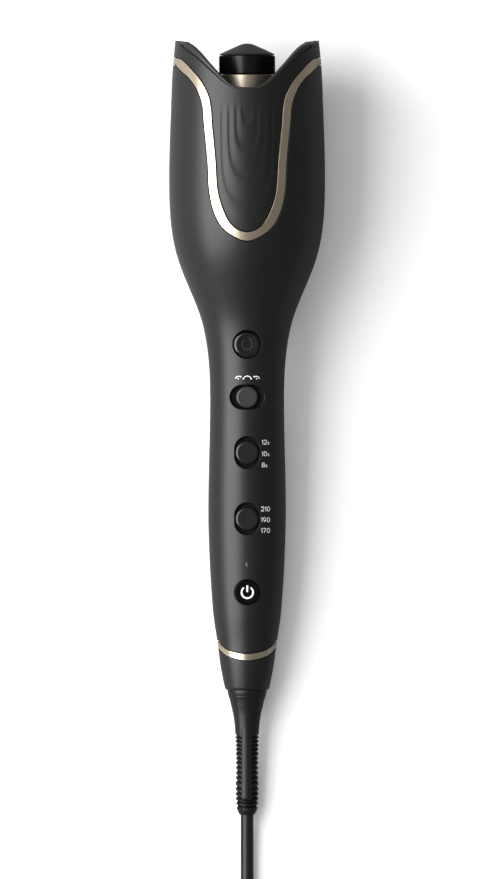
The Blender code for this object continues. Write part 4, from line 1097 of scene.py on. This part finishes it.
def numeral(ch, h):
    """Centre lines of a rounded numeral of height h, and its width."""
    w = 0.60 * h
    oval = lambda cx, cz, rx, rz, a0=0, a1=360, n=28: [(cx + rx * math.sin(math.radians(a)), cz + rz * math.cos(math.radians(a)))
                                                       for a in np.linspace(a0, a1, n)]
    if ch == "0":
        return [oval(w / 2, h / 2, w / 2, h / 2)], w
    if ch == "1":
        return [[(0.0, 0.80 * h), (0.30 * w, h * 0.985), (0.32 * w, h)], [(0.32 * w, h), (0.32 * w, h / 2), (0.32 * w, 0)]], 0.34 * w
    if ch == "2":
        top = oval(w / 2, 0.70 * h, w / 2, 0.30 * h, -80, 125, 20)
        return [top + [(0.55 * w, 0.28 * h), (0.0, 0.02 * h)], [(0, 0), (w / 2, 0), (w, 0)]], w
    if ch == "7":
        return [[(0, h), (w / 2, h), (w, h)], [(w, h), (0.62 * w, 0.5 * h), (0.28 * w, 0)]], w
    if ch == "8":
        return [oval(w / 2, 0.76 * h, 0.42 * w, 0.24 * h), oval(w / 2, 0.26 * h, 0.50 * w, 0.26 * h)], w
    if ch == "9":
        return [oval(w / 2, 0.68 * h, w / 2, 0.32 * h), [(w, 0.66 * h), (0.93 * w, 0.42 * h), (0.68 * w, 0.16 * h), (0.42 * w, 0.0)]], w
    # small s
    k = h
    w = 0.52 * k
    return [oval(w / 2, 0.73 * k, 0.46 * w, 0.25 * k, 65, -90, 12) + [(0.16 * w, 0.58 * k), (0.5 * w, 0.5 * k), (0.84 * w, 0.42 * k)]
            + oval(w / 2, 0.27 * k, 0.50 * w, 0.25 * k, 90, 250, 12)], w


def lettering(name, items, depth_at, mat, body, weight=0.25):
    """Numerals as strokes: (text, left x, baseline station, height)."""
    lines, dots = [], []
    for text, x, z, h in items:
        for ch in text:
            size = h * (0.60 if ch == "s" else 1.0)
            pts, w = numeral(ch, size - weight)
            for p in pts:
                q = [(x + weight / 2 + a, z + weight / 2 + b) for a, b in p]
                lines.append((q, weight * (0.85 if ch == "s" else 1.0)))
                if ch in "1279s":
                    dots += [(q[0][0], q[0][1], weight * 0.42), (q[-1][0], q[-1][1], weight * 0.42)]
            x += w + weight + 0.30
    return strokes(name, lines, dots, depth_at, mat, body)


def px(x, y):
    return (x - 247.1) * 0.48, (439.5 - y) * 0.48


items = []
for txt, yc in (("12", 442.3), ("10", 453.9), ("8", 465.0)):
    x, z = px(261.7, yc + 2.3)
    items.append((txt + "s", x, z, 2.35))
lettering("time_marks", items, skin_d, M["print_white"], "housing")
items = []
for txt, yc in (("210", 508.9), ("190", 519.7), ("170", 530.5)):
    x, z = px(261.0, yc + 2.3)
    items.append((txt, x, z, 2.35))
lettering("temperature_marks", items, skin_d, M["print_white"], "housing")

x0, z0 = px(247.3, 379.6)
lines, dots = [], []
lines.append((arc_points(x0, z0 - 0.3, 1.95, -68, 68), 0.38))
dots += [(x0 - 1.85, z0 + 0.35, 0.33), (x0 + 1.85, z0 + 0.35, 0.33)]
for sgn, xc in ((-1, 238.6), (1, 256.2)):
    xx, zz = px(xc, 379.2)
    lines.append((arc_points(xx, zz - 0.2, 1.55, sgn * 75, sgn * -35), 0.38))
    dots.append((xx + sgn * -1.0, zz + 1.15, 0.36))
    dots.append((xx + sgn * 0.2, zz + 0.15, 0.3))
strokes("direction_marks", lines, dots, skin_d, M["print_white"], "housing")

x0, z0 = px(247.3, 592.1)
strokes("power_mark", [(arc_points(x0, z0, 2.75, 36, 324, 48), 0.78), ([(x0, z0 + 3.35), (x0, z0 + 1.5), (x0, z0 + 0.15)], 0.78)], [],
        lambda x, z: power_top - 0.10, M["print_white"], "power_key", proud=0.14)
strokes("curl_mark", [(arc_points(0.0, CURL_Z, 2.4, 50, 320, 40), 0.5), ([(0.4, CURL_Z + 3.4), (1.9, CURL_Z + 2.0), (2.5, CURL_Z + 1.2)], [0.1, 0.9, 0.1])], [],
        lambda x, z: curl_top - 0.24, M["slider_grey"], "curl_key", proud=0.13)

# ---------------------------------------------------------------- heated barrel and what turns with it
prof = [(11.4, 93.8), (13.2, 93.8), (13.2, 174.6)] + arc_profile(12.8, 174.6, 0.4, 0, 90, 4)[1:] + [(11.4, 175.0)]
ob = turned("heating_tube", prof, M["barrel_coating"], "barrel", 128)
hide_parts("heated_barrel")
prof = [(11.0, 175.3), (13.1, 175.3), (13.45, 175.65), (13.45, 183.85), (13.1, 184.2), (11.0, 184.2)]
ob = turned("tip_collar", prof, M["gloss_black"], "barrel", 128)
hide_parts("barrel_tip_collar")
prof = [(0, 190.1), (1.2, 190.02), (2.4, 189.8), (3.6, 189.35), (4.6, 188.9), (8.6, 187.1), (12.4, 185.35), (13.0, 185.0), (13.3, 184.6), (13.2, 184.5),
        (10.5, 184.5), (10.5, 178.5), (0, 178.5)]
ob = turned("tip_cone", prof, M["cone_grey"], "barrel", 128, sharp=50)
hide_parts("barrel_tip_cone")


def finger_mesh(bm, angle):
    """One winding finger: rounded bar leaning outwards and narrowing to a rounded tip."""
    n = 20
    sec = []
    for q in np.concatenate([np.linspace(0, 0.9, 12), [0.94, 0.97, 0.99, 1.0]]):
        w = 2.0 * (1 - 0.35 * q)
        t = 1.5
        if q > 0.9:
            k = math.sqrt(max(0.0, 1 - ((q - 0.9) / 0.1) ** 2))
            w, t = max(w * k, 0.12), max(t * (0.35 + 0.65 * k), 0.3)
        yc, z = 16.7 + 1.5 * q, 103.0 + 39.0 * q
        ringv = []
        for i in range(n):
            a = 2 * math.pi * (i + 0.5) / n
            x = w * math.copysign(abs(math.cos(a)) ** 0.6, math.cos(a))
            y = yc + t * math.copysign(abs(math.sin(a)) ** 0.6, math.sin(a))
            c, s = math.cos(angle), math.sin(angle)
            ringv.append(bm.verts.new((x * c - y * s, x * s + y * c, z)))
        sec.append(ringv)
    for a, b in zip(sec, sec[1:]):
        for i in range(n):
            bm.faces.new((a[i], a[(i + 1) % n], b[(i + 1) % n], b[i]))
    bm.faces.new(sec[0][::-1])
    bm.faces.new(sec[-1])


bm = bmesh.new()
prof = [(13.5, 100.8), (18.7, 100.8), (19.0, 101.1), (19.0, 104.2), (18.6, 104.7), (18.2, 104.8), (13.9, 104.8), (13.5, 104.5)]
N = 96
ids = [[bm.verts.new((r * math.cos(2 * math.pi * k / N), r * math.sin(2 * math.pi * k / N), h)) for k in range(N)] for r, h in prof]
for i in range(len(prof)):
    a, b = ids[i], ids[(i + 1) % len(prof)]
    for k in range(N):
        bm.faces.new((a[k], a[(k + 1) % N], b[(k + 1) % N], b[k]))
for ang in (45, 225):
    finger_mesh(bm, math.radians(ang))
bmesh.ops.scale(bm, vec=(MM, MM, MM), verts=bm.verts)
bmesh.ops.recalc_face_normals(bm, faces=bm.faces)
me = bpy.data.meshes.new("winding_fingers")
bm.to_mesh(me)
bm.free()
shade(me, 40)
hook = new_object("winding_fingers", me, M["satin_black"], "barrel")
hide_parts("winding_hook")

# ---------------------------------------------------------------- swivelling strain relief
RELIEF = cubic(*zip(*sorted([(-120.6, 9.4), (-122.0, 9.2), (-125.0, 8.3), (-127.9, 7.6), (-130.8, 6.9), (-133.7, 6.4), (-136.6, 6.0),
                             (-140.5, 5.7), (-149.0, 5.45), (-160.0, 5.3), (-175.4, 5.15), (-177.0, 4.95)])))
us = np.concatenate([[-111.9, -111.9, -112.2, -120.24, -120.24, -120.34],
                     np.sort(np.append(np.arange(-120.6, -138.0, -0.6), [-122.7, -122.8, -122.9]))[::-1], np.arange(-138.0, -177.0, -0.11)])
a = 2 * math.pi * np.arange(144) / 144
bow = np.cos(a) ** 2
# grooves between the ribs: station at the side, how far they dip in front, half width
GROOVES = [(-141.93 - d, 1.7, 0.46 + 0.0045 * d) for d in (0, 1.92, 3.84, 5.76, 7.68, 10.08, 12.0, 14.4, 16.8, 19.2, 21.6, 24.48, 26.88, 29.28)]
GROOVES += [(-173.55, 1.0, 0.56), (-175.75, 0.7, 0.56)]
rows, dark = [], []
for i, u in enumerate(us):
    if i == 0:
        rows.append(np.full(144, 0.0)); continue
    if i == 1:
        rows.append(np.full(144, 6.3)); continue
    if i in (2, 3):
        rows.append(np.full(144, 6.5)); continue
    if i in (4, 5):
        rows.append(np.full(144, 9.15 if i == 4 else 9.36)); continue
    r = np.full(144, float(RELIEF(u))) - 0.14 * math.exp(-((u + 122.8) / 0.1) ** 2)
    x = r * np.sin(a)
    # spine on the front and the back, standing over the ribs
    inside = np.clip((2.6 - np.abs(x)) / 0.3, 0, 1)
    inside = inside * inside * (3 - 2 * inside)
    ends = np.clip((u + 172.9) / 1.6, 0, 1) * np.clip((-138.3 - u) / 1.6, 0, 1)
    endw = math.sqrt(max(0.0, 1 - (1 - min(1.0, ends)) ** 2))
    groove = np.zeros(144)
    for c, dip, wide in GROOVES:
        g = np.clip((wide + 0.14 - np.abs(u - (c - dip * bow))) / 0.28, 0, 1)
        groove = np.maximum(groove, g * g * (3 - 2 * g))
    allround = 1.0 if u < -173.0 else 0.0
    mask = 1 - inside * (1 - allround)
    r = r + (0.12 + 0.26 * np.sqrt(np.clip(1 - (x / 2.65) ** 2, 0, 1))) * inside * endw * (1 - allround)
    r = r - 0.62 * groove * mask
    # faces deep in a groove are picked out for the dark recess finish: painted shade in the grooves
    dark.append((i, groove * mask > 0.15))
    rows.append(r)
tipu = [(-177.5, 4.75), (-178.2, 4.5), (-178.9, 4.2), (-179.5, 3.85), (-180.0, 3.45), (-180.2, 3.2)]
for u, r in tipu:
    rows.append(np.full(144, r))
rows.append(np.full(144, 0.0))
us = np.concatenate([us, [u for u, _ in tipu], [-180.2]])
verts, faces = [], []
for r, u in zip(rows, us):
    verts.append(np.stack([r * np.sin(a), -r * np.cos(a), np.full(144, u)], 1))
v = np.concatenate(verts) * MM
f = grid_faces(len(rows), 144, True, wrap_rows=False).tolist()
if volume(v, f) < 0:
    f = [q[::-1] for q in f]
me = bpy.data.meshes.new("swivel_relief")
me.from_pydata(v.tolist(), [], f)
me.materials.append(M["rubber_black"])
# second slot: the near-black, low-gloss recess finish on the groove floors, painted shade between the ribs
me.materials.append(M["pocket_black"])
groove_shade_mask = np.zeros((len(rows), 144), bool)
for i, q in dark:
    groove_shade_mask[i] = q
for p_ in me.polygons:
    if all(groove_shade_mask[k // 144, k % 144] for k in p_.vertices):
        p_.material_index = 1
bm = bmesh.new()
bm.from_mesh(me)
bmesh.ops.remove_doubles(bm, verts=bm.verts, dist=1e-7)
bm.to_mesh(me)
bm.free()
me.update()
shade(me, 50)
relief = new_object("swivel_relief", me, None, "cord_swivel")
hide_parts("strain_relief")

# ---------------------------------------------------------------- finishes of the carried-over nodes
KEEP = {
    "barrel_bearing": "gear_plastic", "board_screw_1": "steel", "board_screw_2": "steel", "board_screw_3": "steel", "board_screw_4": "steel",
    "control_board": "board_green", "power_board": "board_green", "curl_spring": "steel", "power_spring": "steel",
    "curl_switch": "switch_black", "power_switch": "switch_black", "direction_switch": "switch_black", "time_switch": "switch_black",
    "temperature_switch": "switch_black", "curl_switch_plunger": "frame_plastic", "power_switch_plunger": "frame_plastic",
    "direction_switch_lever": "gear_plastic", "time_switch_lever": "gear_plastic", "temperature_switch_lever": "gear_plastic",
    "drive_gear": "gear_plastic", "filter_capacitor": "switch_black", "heater_core": "ceramic", "inner_chassis": "frame_plastic",
    "motor_body": "steel", "motor_mount": "frame_plastic", "motor_shaft": "steel", "pinion_gear": "brass_gear", "ready_led": "lamp_clear",
    "slip_ring_block": "frame_plastic", "swivel_contact_disc": "brass_gear", "swivel_retainer": "frame_plastic",
    "temperature_sensor": "switch_black", "thermal_fuse": "ceramic"}
for name, m in KEEP.items():
    ob = bpy.data.objects[name]
    ob.data.materials.clear()
    ob.data.materials.append(M[m])

# every mesh goes into the shared frame, and then rides on its body
bpy.context.view_layer.update()
for ob, body in RIDES:
    ob.data.transform(ob.matrix_world)
    ob.matrix_world = Matrix.Identity(4)
    ob.data.update()
    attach(ob, body)
